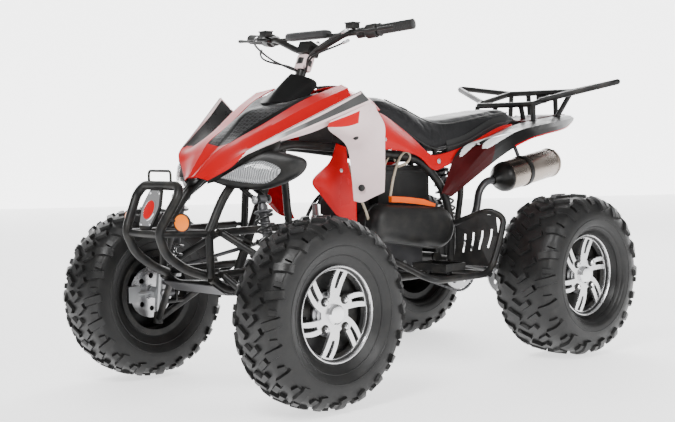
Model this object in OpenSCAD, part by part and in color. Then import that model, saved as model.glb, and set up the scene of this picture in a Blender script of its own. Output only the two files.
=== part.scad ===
// Sport quad bike: tubular frame, double A-arm front axle, swingarm rear axle.
// +X is forward, +Y is left, +Z is up. The origin is on the ground, under the
// middle of the overall length.

/* [Overall] */
// Distance between the front and the rear wheel axes
wheelbase = 1200; // [1100:5:1300]
// Sideways distance between the middle planes of the front tyres
front_track = 860; // [820:5:960]
// Sideways distance between the middle planes of the rear tyres
rear_track = 804; // [780:5:900]
// Outer radius of all four tyres
tyre_r = 280; // [260:1:300]
// Height of the handlebar clamp
bar_height = 1048; // [1030:2:1090]

/* [Wheels] */
// Radius of the rim's outer flange
rim_flange_r = 139.5; // [130:0.5:150]
// Width of the front tyres
front_tyre_w = 185; // [160:5:200]
// Width of the rear tyres
rear_tyre_w = 250; // [220:5:270]
// Width of the front rims over the flanges
front_rim_w = 140; // [120:2:150]
// Width of the rear rims over the flanges
rear_rim_w = 170; // [150:2:190]
// Tyre wall thickness
tyre_wall = 10; // [7:1:14]
// Number of wheel nuts on each wheel
lug_count = 4; // [3:1:5]
// Radius of the circle of wheel nuts
lug_circle_r = 55; // [50:1:60]
// Radius of the front wheel spindles
spindle_r = 11; // [9:0.5:13]
// Radius of the rear axle shaft
rear_axle_r = 18; // [15:0.5:22]

/* [Frame] */
// Radius of the main frame tubes
frame_tube_r = 14; // [12:0.5:16]
// Height of the lower frame rails
rail_z = 302; // [290:1:320]
// Sideways distance of the lower rails from the middle
rail_y = 128; // [120:1:135]
// Radius of the rack and guard tubes
rack_tube_r = 10.5; // [8:0.5:13]
// Radius of the bumper tubes
bumper_tube_r = 14; // [11:0.5:16]

/* [Suspension and steering] */
// Radius of the A-arm tubes
arm_tube_r = 11; // [9:0.5:13]
// Sideways distance of the A-arm pivots from the middle
arm_pivot_y = 118; // [112:1:125]
// Height of the lower A-arm pivots
lower_pivot_z = 380; // [370:1:390]
// Height of the upper A-arm pivots
upper_pivot_z = 505; // [495:1:515]
// Distance from the front tyre's middle plane in to the lower ball joint
ball_inset = 78; // [72:1:90]
// Radius of the shock absorber bodies
damper_r = 15; // [12:0.5:18]
// Outer radius of the front coil springs
front_spring_r = 29; // [25:0.5:32]
// Outer radius of the rear coil spring
rear_spring_r = 33; // [28:0.5:36]
// Wire radius of the coil springs
spring_wire_r = 4.5; // [3:0.5:6]
// Backward tilt of the steering column in degrees
column_tilt = 25; // [20:1:28]
// Radius of the steering column
column_r = 15; // [12:0.5:18]
// Length of the steering column's lower arm
pitman_len = 58; // [50:1:65]

/* [Body] */
// Thickness of the moulded body panels
panel_t = 4; // [3:0.5:6]
// Half the width over the front mudguards
fender_half_w = 340; // [320:2:350]
// Half the width of the seat at its widest
seat_half_w = 128; // [118:1:135]
// Radius of the silencer
silencer_r = 54; // [45:1:58]

/* [Handlebar] */
// Half the width over the handlebar grips
bar_half_w = 385; // [360:5:400]
// Radius of the handlebar tube
bar_tube_r = 11; // [10:0.5:13]
// Radius of the grips
grip_r = 16.5; // [15:0.5:19]

/* [Fits] */
// Radial clearance of a turning shaft in its bore
run_fit = 0.08; // [0.03:0.01:0.1]
// Gap between neighbouring pieces that are fixed together
seat_gap = 0.4; // [0.2:0.1:0.8]

/* [Hidden] */
$fn = 32;
front_x = wheelbase / 2;
rear_x = -wheelbase / 2;
front_y = front_track / 2;
rear_y = rear_track / 2;
bumper_x = front_x + 305;
tail_x = rear_x - 470;
box_mid_x = (bumper_x + bumper_tube_r + tail_x) / 2;

// Steering geometry
kp_low = [front_x + 4, front_y - ball_inset, tyre_r - 75];
kp_high = [front_x - 4, front_y - ball_inset - 14, tyre_r + 80];
kp_dir = (kp_high - kp_low) / norm(kp_high - kp_low);
ball_r = 16;
ball_h = 24;
joint_gap = 5;
stud_r = 6;
arm_tip = [front_x - 70, front_y - 90, tyre_r + 60];
column_top = [235, 0, bar_height];
column_dir = [-sin(column_tilt), 0, cos(column_tilt)];
function column_at(z) = column_top + column_dir * (z - bar_height) / cos(column_tilt);
column_foot_z = 352;
pitman_z = 455;
upper_bearing_z = 770;
pitman_side = 15;
pitman_back = [-cos(column_tilt), 0, -sin(column_tilt)];

// Upper rail of the frame, from the front node to the rear foot
upper_rail = [
    [front_x + 148, 110, upper_pivot_z], [front_x + 68, 92, 622], [560, 84, 700], [430, 84, 762],
    [200, 92, 742], [-18, 112, 716], [-165, 118, 694], [-268, 130, 588], [-285, 150, 461],
    [-300, rail_y, rail_z + 32]
];
lower_rail = [
    [front_x + 150, arm_pivot_y, lower_pivot_z - 8], [front_x + 100, arm_pivot_y + 1, 335],
    [430, rail_y, rail_z + 3], [100, rail_y, rail_z], [-262, rail_y, rail_z], [-300, rail_y, rail_z + 32]
];
brace_x = 430;
seat_rail = [[-165, 100, 690], [-300, 98, 702], [-480, 84, 748], [-640, 72, 790], [tail_x + 70, 62, 806]];

function unit(v) = v / max(norm(v), 0.001);
function lerp(a, b, t) = a + (b - a) * t;
function flip(p) = [p.x, -p.y, p.z];

// A round bar between two points
module bar(a, b, r) {
    d = b - a;
    translate(a)
        rotate([0, acos(d.z / norm(d)), atan2(d.y, d.x)])
            cylinder(h = norm(d), r = r);
}

// Points of a path with its corners rounded
function rounded(points, r) = [for (i = [0 : len(points) - 1]) each i == 0 || i == len(points) - 1
    ? [points[i]]
    : let (p = points[i], a = points[i - 1] - p, b = points[i + 1] - p,
           d = min(r, norm(a) * 0.45, norm(b) * 0.45), pa = p + unit(a) * d, pb = p + unit(b) * d)
      [for (t = [0, 1 / 3, 2 / 3, 1]) lerp(lerp(pa, p, t), lerp(p, pb, t), t)]];

// Side vectors carried along a path without twist
function carry(dirs, i, s) = let (v = unit(s - dirs[i] * (s * dirs[i])))
    i == len(dirs) - 1 ? [v] : concat([v], carry(dirs, i + 1, v));

// A round tube that follows a list of points
module tube(points, r, bend_r = 60, sides = 12) {
    path = rounded(points, bend_r);
    n = len(path) - 1;
    dirs = [for (i = [0 : n]) unit(path[min(i + 1, n)] - path[max(i - 1, 0)])];
    first = unit(cross(dirs[0], abs(dirs[0].z) < 0.9 ? [0, 0, 1] : [1, 0, 0]));
    side = carry(dirs, 0, first);
    loft([for (i = [0 : n]) [for (k = [0 : sides - 1])
        path[i] + r * (side[i] * cos(360 * k / sides) + cross(side[i], dirs[i]) * sin(360 * k / sides))]]);
}

// A path that runs on to its mirror image on the right
function full(path) = concat([for (i = [len(path) - 1 : -1 : 0]) flip(path[i])], path);

// The same piece on the left and on the right
module both() {
    children();
    mirror([0, 1, 0]) children();
}

// Turns +Z towards a direction at a place
module along(place, dir) {
    translate(place)
        rotate([0, acos(dir.z / norm(dir)), atan2(dir.y, dir.x)])
            children();
}

// Normals and shell of a panel that is given by rows of points
function net_normal(net, i, j) =
    let (r = len(net) - 1, c = len(net[0]) - 1,
         du = net[min(i + 1, r)][j] - net[max(i - 1, 0)][j],
         dv = net[i][min(j + 1, c)] - net[i][max(j - 1, 0)])
    unit(cross(du, dv));

module panel(net, t) {
    r = len(net);
    c = len(net[0]);
    n = r * c;
    top = [for (i = [0 : r - 1]) for (j = [0 : c - 1]) net[i][j]];
    low = [for (i = [0 : r - 1]) for (j = [0 : c - 1]) net[i][j] - net_normal(net, i, j) * t];
    function at(i, j) = i * c + j;
    faces = concat(
        [for (i = [0 : r - 2]) for (j = [0 : c - 2]) each [
            [at(i, j), at(i, j + 1), at(i + 1, j + 1)], [at(i, j), at(i + 1, j + 1), at(i + 1, j)],
            [n + at(i, j), n + at(i + 1, j + 1), n + at(i, j + 1)],
            [n + at(i, j), n + at(i + 1, j), n + at(i + 1, j + 1)]]],
        [for (i = [0 : r - 2]) each [
            [at(i, 0), at(i + 1, 0), n + at(i + 1, 0)], [at(i, 0), n + at(i + 1, 0), n + at(i, 0)],
            [at(i + 1, c - 1), at(i, c - 1), n + at(i, c - 1)],
            [at(i + 1, c - 1), n + at(i, c - 1), n + at(i + 1, c - 1)]]],
        [for (j = [0 : c - 2]) each [
            [at(0, j + 1), at(0, j), n + at(0, j)], [at(0, j + 1), n + at(0, j), n + at(0, j + 1)],
            [at(r - 1, j), at(r - 1, j + 1), n + at(r - 1, j + 1)],
            [at(r - 1, j), n + at(r - 1, j + 1), n + at(r - 1, j)]]]);
    polyhedron(points = concat(top, low), faces = faces, convexity = 6);
}

// A closed body through rings of points, capped at both ends
module loft(rings) {
    m = len(rings[0]);
    k = len(rings);
    points = [for (ring = rings) each ring];
    sides = [for (i = [0 : k - 2]) for (j = [0 : m - 1]) each [
        [i * m + j, i * m + (j + 1) % m, (i + 1) * m + (j + 1) % m],
        [i * m + j, (i + 1) * m + (j + 1) % m, (i + 1) * m + j]]];
    caps = concat(
        [for (j = [1 : m - 2]) [0, j + 1, j]],
        [for (j = [1 : m - 2]) [(k - 1) * m, (k - 1) * m + j, (k - 1) * m + j + 1]]);
    polyhedron(points = points, faces = concat(sides, caps), convexity = 4);
}

// A coil spring along Z
module coil(r, wire, height, turns) {
    steps = 12;
    count = turns * steps;
    rings = [for (i = [0 : count])
        let (a = 360 * i / steps, z = 0.87 * wire + (height - 1.74 * wire) * i / count)
        [for (j = [0 : 5])
            let (b = -60 * j)
            [(r - wire + wire * cos(b)) * cos(a), (r - wire + wire * cos(b)) * sin(a), z + wire * sin(b)]]];
    loft(rings);
}

// ---- Wheels ----

// A hollow tyre around the Y axis, its beads inside the rim's flanges
module tyre(w, rim_w, drop) {
    h = w / 2;
    rh = rim_w / 2 - 4 - seat_gap;
    bead = rim_flange_r - 11;
    wall = [[bead, rh], [rim_flange_r + 2, rh], [rim_flange_r + 16, h * 0.88], [tyre_r - drop - 34, h],
            [tyre_r - drop, h * 0.93], [tyre_r - 5, h * 0.66], [tyre_r, h * 0.3]];
    t = tyre_wall;
    inside = [[bead, rh - t], [rim_flange_r + 4, rh - t], [rim_flange_r + 16, h * 0.88 - t],
              [tyre_r - drop - 34, h - t], [tyre_r - drop - t, h * 0.93 - t], [tyre_r - 5 - t, h * 0.6]];
    rotate([-90, 0, 0])
        rotate_extrude($fn = 96)
            polygon(concat(
                wall, [for (i = [len(wall) - 1 : -1 : 0]) [wall[i].x, -wall[i].y]],
                [for (q = inside) [q.x, -q.y]], [for (i = [len(inside) - 1 : -1 : 0]) inside[i]]));
}

// A dished rim around the Y axis, its face towards +Y
module rim(w) {
    h = w / 2;
    seat_r = rim_flange_r - 11 - seat_gap;
    spokes = 6;
    rotate([-90, 0, 0])
        difference() {
            union() {
                rotate_extrude($fn = 96)
                    polygon([[seat_r - 7, -h], [seat_r, -h], [seat_r, h], [seat_r - 7, h]]);
                for (side = [-1, 1])
                    rotate_extrude($fn = 96)
                        polygon([[seat_r - 7, side * (h - 4)], [rim_flange_r, side * (h - 4)],
                                 [rim_flange_r, side * h], [seat_r - 7, side * h]]);
                translate([0, 0, h - 34])
                    difference() {
                        cylinder(r = seat_r - 3, h = 14, $fn = 96);
                        for (i = [0 : spokes - 1])
                            rotate([0, 0, i * 360 / spokes])
                                translate([0, 0, -1])
                                    linear_extrude(16)
                                        union() {
                                            polygon([[58, 6], [106, 10], [106, 42], [80, 36]]);
                                            polygon([[66, -8], [106, -9], [106, -3], [66, -3]]);
                                        }
                    }
                translate([0, 0, h - 34]) cylinder(r = 36, h = 26, $fn = 64);
            }
            for (i = [0 : lug_count - 1])
                rotate([0, 0, i * 360 / lug_count + 45])
                    translate([lug_circle_r, 0, h - 40])
                        cylinder(r = 5.5, h = 30, $fn = 24);
            translate([0, 0, h - 36]) cylinder(r = 28, h = 24, $fn = 64);
        }
}

// A wheel hub around the Y axis: flange under the rim's face, studs and nuts
module hub(w, reach, bore) {
    face = w / 2 - 34;
    rotate([-90, 0, 0])
        difference() {
            union() {
                translate([0, 0, -reach]) cylinder(r = 24, h = reach + face + 20, $fn = 64);
                translate([0, 0, face - 8]) cylinder(r = lug_circle_r + 12, h = 8, $fn = 64);
                for (i = [0 : lug_count - 1])
                    rotate([0, 0, i * 360 / lug_count + 45])
                        translate([lug_circle_r, 0, face - 4]) {
                            cylinder(r = 5, h = 30, $fn = 24);
                            translate([0, 0, 18.2]) cylinder(r = 8.5, h = 12, $fn = 6);
                        }
            }
            if (bore > 0) translate([0, 0, -reach - 1]) cylinder(r = bore, h = reach + face - 20, $fn = 64);
        }
}

module front_wheel_at() translate([front_x, front_y, tyre_r]) children();
module rear_wheel_at() translate([rear_x, rear_y, tyre_r]) children();

module front_tyre_left() color([0.07, 0.07, 0.07]) front_wheel_at() tyre(front_tyre_w, front_rim_w, 26);
module front_rim_left() color([0.7, 0.7, 0.72]) front_wheel_at() rim(front_rim_w);

// Hub and brake disc, which turn on the spindle
front_hub_reach = 42;
disc_in = front_hub_reach - 6;
disc_r = 84;
module front_hub_left() color([0.45, 0.45, 0.47]) front_wheel_at() {
    hub(front_rim_w, front_hub_reach, spindle_r + run_fit);
    rotate([-90, 0, 0])
        translate([0, 0, -disc_in])
            difference() {
                cylinder(r = disc_r, h = 4, $fn = 64);
                translate([0, 0, -1]) cylinder(r = 20, h = 6, $fn = 64);
                for (i = [0 : 7]) rotate([0, 0, i * 45]) translate([54, 0, -1]) cylinder(r = 9, h = 6,
                    $fn = 24);
            }
}
module front_tyre_right() mirror([0, 1, 0]) front_tyre_left();
module front_rim_right() mirror([0, 1, 0]) front_rim_left();
module front_hub_right() mirror([0, 1, 0]) front_hub_left();

// ---- Steering knuckles ----

module knuckle_body() {
    span = norm(kp_high - kp_low);
    bottom = ball_h / 2 + joint_gap;
    root = kp_low + kp_dir * (tyre_r - kp_low.z) / kp_dir.z;
    arm_root = kp_low + kp_dir * (arm_tip.z - kp_low.z - 8) / kp_dir.z;
    difference() {
        union() {
            along(kp_low + kp_dir * bottom, kp_dir) cylinder(r = 15, h = span - 2 * bottom);
            bar(root, [front_x, front_y - front_hub_reach - 4, tyre_r], 19);
            bar([front_x, front_y - front_hub_reach - 5, tyre_r], [front_x,
                front_y + front_rim_w / 2 - 60, tyre_r], spindle_r);
            bar(arm_root, arm_tip, 10);
            along(arm_tip - kp_dir * 10, kp_dir) cylinder(r = 12, h = 20);
        }
        along(kp_low, kp_dir) cylinder(r = stud_r + run_fit, h = bottom + 22);
        along(kp_high, -kp_dir) cylinder(r = stud_r + run_fit, h = bottom + 22);
        along(arm_tip - kp_dir * 11, kp_dir) cylinder(r = stud_r + run_fit, h = 22);
    }
}

// Brake caliper over the front of the disc, with the arm that holds it
module caliper_body() {
    disc_y = front_y - disc_in;
    difference() {
        union() {
            translate([front_x + 56, disc_y - 18, tyre_r - 26]) cube([46, 34, 52]);
            bar([front_x + 10, disc_y - 20, tyre_r], [front_x + 66, disc_y - 14, tyre_r], 8);
        }
        front_wheel_at() rotate([-90, 0, 0]) translate([0, 0, -disc_in - 1.5]) cylinder(r = disc_r + 3,
            h = 7, $fn = 64);
        knuckle_body();
    }
}
module knuckle_left() {
    color([0.16, 0.16, 0.17]) knuckle_body();
    color([0.4, 0.4, 0.42]) caliper_body();
}
module knuckle_right() mirror([0, 1, 0]) knuckle_left();

// Tie rods, from the knuckle's arm to the lower arm of the steering column
rod_lift = 20;
rod_outer = arm_tip + kp_dir * rod_lift;
rod_inner = column_at(pitman_z) + pitman_back * pitman_len + [0, pitman_side, 0] + column_dir * rod_lift;
module tie_rod_left() color([0.3, 0.3, 0.32]) {
    along(rod_outer - kp_dir * 9, kp_dir) cylinder(r = 12, h = 18);
    along(rod_outer - kp_dir * 30, kp_dir) cylinder(r = stud_r, h = 22);
    bar(rod_outer, rod_inner, 6.5);
    along(rod_inner - column_dir * 8, column_dir) cylinder(r = 11, h = 16);
}
module tie_rod_right() mirror([0, 1, 0]) tie_rod_left();

// ---- Front suspension ----

// One A-arm: a sleeve on the pivot pin, two legs and the ball joint's housing
arm_front_x = front_x + 120;
arm_rear_x = front_x - 138;
module a_arm(z, ball, dir, drop) {
    y = arm_pivot_y;
    foot = ball - [0, 0, drop];
    difference() {
        union() {
            bar([arm_rear_x, y, z], [arm_front_x, y, z], arm_tube_r + 1);
            bar([arm_front_x - 12, y, z], foot, arm_tube_r);
            bar([arm_rear_x + 12, y, z], foot, arm_tube_r);
            along(ball - dir * (ball_h / 2 + drop), dir) cylinder(r = ball_r, h = ball_h + drop);
            along(ball, dir) cylinder(r = stud_r, h = ball_h / 2 + joint_gap + 20);
        }
        bar([arm_rear_x - 1, y, z], [arm_front_x + 1, y, z], 7 + seat_gap);
    }
}
module lower_arms() color([0.12, 0.12, 0.13]) both() difference() {
    union() {
        a_arm(lower_pivot_z, kp_low, kp_dir, 12);
        shock_foot();
    }
    bar(shock_low - [30, 0, 0], shock_low + [30, 0, 0], 6);
    translate(shock_low - [16, 22, 15]) cube([32, 44, 53]);
}
module upper_arms() color([0.12, 0.12, 0.13]) both() difference() {
    a_arm(upper_pivot_z, kp_high, -kp_dir, 0);
    along(shock_low, shock_high - shock_low) cylinder(r = front_spring_r + 8, h = 400);
}

// Shock absorber line of the front suspension
shock_low = [front_x + 18, 268, 290];
shock_high = [front_x + 14, 196, 600];
shock_dir = (shock_high - shock_low) / norm(shock_high - shock_low);
shock_len = norm(shock_high - shock_low);
module shock_foot() {
    t = (shock_low.y - arm_pivot_y) / (kp_low.y - arm_pivot_y);
    z = lerp(lower_pivot_z, kp_low.z, t) - 6;
    bar([lerp(arm_rear_x + 12, kp_low.x, t), shock_low.y, z], [lerp(arm_front_x - 12, kp_low.x, t),
        shock_low.y, z], 8);
    for (s = [-1, 1]) hull() {
        translate(shock_low + [s * 20, 0, 0]) rotate([0, 90, 0]) cylinder(r = 12, h = 7, center = true);
        translate([shock_low.x + s * 20, shock_low.y, shock_low.z - 20]) rotate([0, 90,
            0]) cylinder(r = 12, h = 7, center = true);
    }
}
module front_dampers() color([0.2, 0.2, 0.21]) both() difference() {
    union() {
        along(shock_low, shock_dir) cylinder(r = 7, h = shock_len);
        along(shock_low + shock_dir * (shock_len - 165), shock_dir) cylinder(r = damper_r, h = 165);
        along(shock_low + shock_dir * 28, shock_dir) cylinder(r = front_spring_r, h = 6);
        along(shock_low + shock_dir * (shock_len - 40), shock_dir) cylinder(r = front_spring_r, h = 8);
        for (p = [shock_low, shock_high]) bar(p - [13, 0, 0], p + [13, 0, 0], 13);
        bar(shock_low - [30, 0, 0], shock_low + [30, 0, 0], 6 - seat_gap);
    }
    bar(shock_high - [40, 0, 0], shock_high + [40, 0, 0], 6);
}
module front_coils() color([0.05, 0.05, 0.05]) both()
    along(shock_low + shock_dir * (34 + seat_gap), shock_dir)
        coil(front_spring_r - 1, spring_wire_r, shock_len - 40 - 34 - 2 * seat_gap, 8);

// ---- Frame ----

module lower_rails() color([0.1, 0.1, 0.11]) both() tube(lower_rail, frame_tube_r);
module upper_rails() color([0.1, 0.1, 0.11]) both() difference() {
    tube(upper_rail, frame_tube_r);
    tube(lower_rail, frame_tube_r);
}
module rails_cut(extra) both() {
    tube(lower_rail, frame_tube_r + extra);
    tube(upper_rail, frame_tube_r + extra);
}

module shock_bars(extra)
    for (s = [-1, 1]) tube([[front_x + 14 + s * 22, 76, 662], shock_high + [s * 22, 0, 0]], 7 + extra);
module uprights(extra) {
    tube([[front_x + 150, arm_pivot_y, lower_pivot_z - 8], [front_x + 148, arm_pivot_y - 6,
        upper_pivot_z + 4]], 12 + extra);
    tube([[brace_x, rail_y, rail_z], [brace_x, 84, 762]], 12 + extra);
}
module arm_pins(extra)
    for (z = [lower_pivot_z, upper_pivot_z])
        tube([[brace_x, arm_pivot_y, z], [front_x + 150, arm_pivot_y, z]], 7 + extra);

// Uprights, pivot pins of the A-arms, shock brackets and posts under the bonnet
module front_frame() color([0.1, 0.1, 0.11]) difference() {
    both() {
        uprights(0);
        arm_pins(0);
        shock_bars(0);
        tube([[500, 82, 726], [500, 66, 828]], 7);
        tube([shock_high - [29, 0, 0], shock_high + [29, 0, 0]], 6 - seat_gap);
    }
    rails_cut(0);
    bonnet();
}

// Cross tubes, with the bearings of the steering column
module cross_bars() difference() {
    union() {
        for (p = [[front_x + 148, upper_pivot_z], [column_at(column_foot_z).x + 6, 318], [100, rail_z],
            [-262, rail_z - 22]])
            bar([p.x, -rail_y, p.y], [p.x, rail_y, p.y], 10);
        bar([column_at(upper_bearing_z).x + 34, -90, upper_bearing_z - 16],
            [column_at(upper_bearing_z).x + 34, 90, upper_bearing_z - 16], 10);
        bar([-165, -118, 694], [-165, 118, 694], 11);
        along(column_at(column_foot_z - 26), column_dir) cylinder(r = column_r + 9, h = 24);
        along(column_at(upper_bearing_z - 16), column_dir) cylinder(r = column_r + 9, h = 32);
        bar(column_at(upper_bearing_z - 4) + [18, 0, 0], [column_at(upper_bearing_z).x + 34, 0,
            upper_bearing_z - 16], 9);
    }
    rails_cut(0);
    both() {
        uprights(0);
        arm_pins(0);
    }
    along(column_at(column_foot_z - 6), column_dir) cylinder(r = column_r + run_fit, h = 900);
    translate([0, 0, -1]) along(column_at(column_foot_z - 60), column_dir) cylinder(r = 6, h = 60);
}

module cross_tubes() color([0.1, 0.1, 0.11]) {
    cross_bars();
    swingarm_mount();
}

// Seat rails with their struts, seat rests and side panel bosses
seat_rail_r = 11;
rear_strut = [[-372, 97, 716], [-352, 140, 600], [-322, rail_y + 8, 440], [-300, rail_y, rail_z + 34]];
module seat_frame() color([0.1, 0.1, 0.11]) difference() {
    union() {
        both() {
            tube(seat_rail, seat_rail_r);
            tube(rear_strut, seat_rail_r);
            for (x = [-260, -560]) bar([x, x < -300 ? 78 : 98, x < -300 ? 768 : 698], [x,
                x < -300 ? 78 : 98, x < -300 ? 802 : 730], 9);
            bar([-60, 116, 712], [-60, 148.4, 738], 6);
            bar([232, 91, 744], [232, 155.5, 728], 4);
        }
        bar([-384, -100, 722], [-384, 100, 722], 9);
        bar([-640, -74, 790], [-640, 74, 790], 9);
    }
    rails_cut(0);
    bar([-165, -118, 694], [-165, 118, 694], 11);
    seat();
    side_panels();
    side_shrouds();
}

// Front bumper with its badge plate, reflectors and small wire bracket
bumper_path = [[bumper_x - 70, 84, 649], [bumper_x - 56, 104, 622], [bumper_x - 4, 84, 530], [bumper_x,
    80, 508],
    [bumper_x - 24, 76, 450], [bumper_x - 90, 78, 402], [front_x + 150, 100, 378]];
module front_bumper() color([0.1, 0.1, 0.11]) difference() {
    union() {
        tube(full(bumper_path), bumper_tube_r, 36);
        bar([bumper_x - 6, -80, 510], [bumper_x - 6, 80, 510], 11);
        both() bar([bumper_x - 4, 84, 512], [front_x + 148, 108, upper_pivot_z], 11);
        hull() for (q = [[bumper_x - 60, 26, 640], [bumper_x - 30, 40, 590], [bumper_x - 10, 26,
            520]]) both()
            along(q, [1, 0, 0.5]) cylinder(r = 10, h = 5);
        both() along([bumper_x - 45, 134, 545], [1, 0.4, 0]) cylinder(r = 27, h = 8);
        both() bar([bumper_x - 22, 90, 556], [bumper_x - 42, 132, 546], 5);
        tube([[bumper_x - 72, -62, 655], [bumper_x - 72, -62, 692], [bumper_x - 72, 46, 692],
            [bumper_x - 72, 46, 655]], 4, 4, 8);
    }
    rails_cut(0);
    both() uprights(0);
    bar([front_x + 148, -rail_y, upper_pivot_z], [front_x + 148, rail_y, upper_pivot_z], 10);
}

// Plate under the front frame, seated against the lower rails
module skid_plate() color([0.12, 0.12, 0.13])
    panel([for (q = [[front_x + 150, 349], [front_x + 100, 316.4], [430, 286.6]])
        [for (y = [-1, -0.4, 0.4, 1]) [q[0], y * 126, q[1]]]], 3);

// Swingarm with the axle carrier
pivot = [-252, 0, 352];
carrier_y = 82;
module swingarm() color([0.12, 0.12, 0.13]) difference() {
    union() {
        bar([pivot.x, -96, pivot.z], [pivot.x, 96, pivot.z], 15);
        both() bar([pivot.x, 62, pivot.z], [rear_x, 62, tyre_r], 15);
        bar([rear_x, -carrier_y, tyre_r], [rear_x, carrier_y, tyre_r], 38);
        bar([rear_shock_low.x, -62, 316], [rear_shock_low.x, 62, 316], 13);
        for (s = [-1, 1]) translate([rear_shock_low.x - 16, s * 24 - 4, 312]) cube([32, 8, 92]);
    }
    bar([rear_x, -carrier_y - 1, tyre_r], [rear_x, carrier_y + 1, tyre_r], rear_axle_r + run_fit);
    bar([pivot.x, -97, pivot.z], [pivot.x, 97, pivot.z], 8);
    bar(rear_shock_low - [0, 60, 0], rear_shock_low + [0, 60, 0], 6);
}
module swingarm_mount() difference() {
    union() {
        bar([pivot.x, -110, pivot.z], [pivot.x, 110, pivot.z], 8 - seat_gap);
        both() hull() {
            bar([pivot.x, 104, pivot.z], [pivot.x, 112, pivot.z], 16);
            bar([pivot.x - 10, 104, rail_z], [pivot.x - 10, 112, rail_z], 20);
        }
    }
    rails_cut(0);
    bar([-262, -rail_y, rail_z - 22], [-262, rail_y, rail_z - 22], 10);
}

rear_shock_low = [-455, 0, 392];
rear_shock_high = [-384, 0, 690];
rear_dir = (rear_shock_high - rear_shock_low) / norm(rear_shock_high - rear_shock_low);
rear_len = norm(rear_shock_high - rear_shock_low);
module rear_damper() color([0.2, 0.2, 0.21]) difference() {
    union() {
        along(rear_shock_low, rear_dir) cylinder(r = 8, h = rear_len);
        along(rear_shock_low + rear_dir * (rear_len - 150), rear_dir) cylinder(r = damper_r + 3, h = 150);
        along(rear_shock_low + rear_dir * 30, rear_dir) cylinder(r = rear_spring_r, h = 6);
        along(rear_shock_low + rear_dir * (rear_len - 50), rear_dir) cylinder(r = rear_spring_r, h = 8);
        bar(rear_shock_low - [0, 18, 0], rear_shock_low + [0, 18, 0], 14);
        bar(rear_shock_low - [0, 30, 0], rear_shock_low + [0, 30, 0], 6 - seat_gap);
        bar(rear_shock_high, [-384, 0, 718], 12);
    }
    bar([-384, -100, 722], [-384, 100, 722], 9 + seat_gap / 2);
}
module rear_coil() color([0.05, 0.05, 0.05])
    along(rear_shock_low + rear_dir * (36 + seat_gap), rear_dir)
        coil(rear_spring_r - 1, spring_wire_r, rear_len - 50 - 36 - 2 * seat_gap, 8);

module shock_absorbers() {
    front_dampers();
    rear_damper();
}
module coil_springs() {
    front_coils();
    rear_coil();
}

// ---- Rear axle ----

module rear_axle() color([0.35, 0.35, 0.37]) {
    sprocket();
    rear_disc();
    reach = rear_y + rear_rim_w / 2 - 60;
    difference() {
        bar([rear_x, -reach, tyre_r], [rear_x, reach, tyre_r], rear_axle_r);
        both() rear_wheel_at() rotate([-90, 0, 0]) translate([0, 0, -62]) cylinder(r = rear_axle_r + 5,
            h = 200);
    }
    both() rear_wheel_at() hub(rear_rim_w, 62, 0);
}
module rear_rims() color([0.7, 0.7, 0.72]) both() rear_wheel_at() rim(rear_rim_w);
module rear_tyres() color([0.07, 0.07, 0.07]) both() rear_wheel_at() tyre(rear_tyre_w, rear_rim_w, 46);

// Chain wheel on the right, brake disc on the left
sprocket_y = -100;
sprocket_r = 92;
module sprocket() color([0.5, 0.5, 0.5]) translate([rear_x, sprocket_y, tyre_r]) rotate([-90, 0,
    0]) difference() {
    union() {
        cylinder(r = sprocket_r - 4, h = 6, $fn = 72);
        for (i = [0 : 35]) rotate([0, 0, i * 10]) translate([sprocket_r - 6, 0, 1.5]) cylinder(r = 4,
            h = 3, $fn = 6);
        translate([0, 0, -12]) cylinder(r = 34, h = 24, $fn = 64);
    }
    translate([0, 0, -13]) cylinder(r = rear_axle_r - 1, h = 26, $fn = 64);
    for (i = [0 : 5]) rotate([0, 0, i * 60]) translate([60, 0, -1]) cylinder(r = 14, h = 8, $fn = 24);
}
disc_y = 112;
module rear_disc() color([0.6, 0.6, 0.62]) translate([rear_x, disc_y, tyre_r]) rotate([-90, 0,
    0]) difference() {
    union() {
        cylinder(r = 90, h = 4, $fn = 72);
        translate([0, 0, -10]) cylinder(r = 34, h = 28, $fn = 64);
    }
    translate([0, 0, -11]) cylinder(r = rear_axle_r - 1, h = 30, $fn = 64);
    for (i = [0 : 7]) rotate([0, 0, i * 45]) translate([62, 0, -1]) cylinder(r = 9, h = 6, $fn = 24);
}
module rear_caliper() color([0.55, 0.1, 0.08]) difference() {
    union() {
        translate([rear_x + 50, disc_y - 18, tyre_r + 30]) cube([52, 42, 46]);
        bar([rear_x + 70, 62, tyre_r + 20], [rear_x + 76, disc_y - 14, tyre_r + 44], 9);
    }
    translate([rear_x, disc_y - 1.5, tyre_r]) rotate([-90, 0, 0]) cylinder(r = 93, h = 7, $fn = 72);
    swingarm();
}

// Chain: one loop from the gearbox to the chain wheel
gear_x = -150;
gear_z = 370;
gear_r = 30;
module chain() color([0.2, 0.2, 0.2]) translate([0, sprocket_y + 7, 0]) rotate([90, 0, 0]) linear_extrude(8)
    difference() {
        hull() {
            translate([rear_x, tyre_r]) circle(r = sprocket_r + 8, $fn = 72);
            translate([gear_x, gear_z]) circle(r = gear_r + 8, $fn = 48);
        }
        hull() {
            translate([rear_x, tyre_r]) circle(r = sprocket_r + 1, $fn = 72);
            translate([gear_x, gear_z]) circle(r = gear_r + seat_gap, $fn = 48);
        }
    }

// ---- Engine ----

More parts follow.
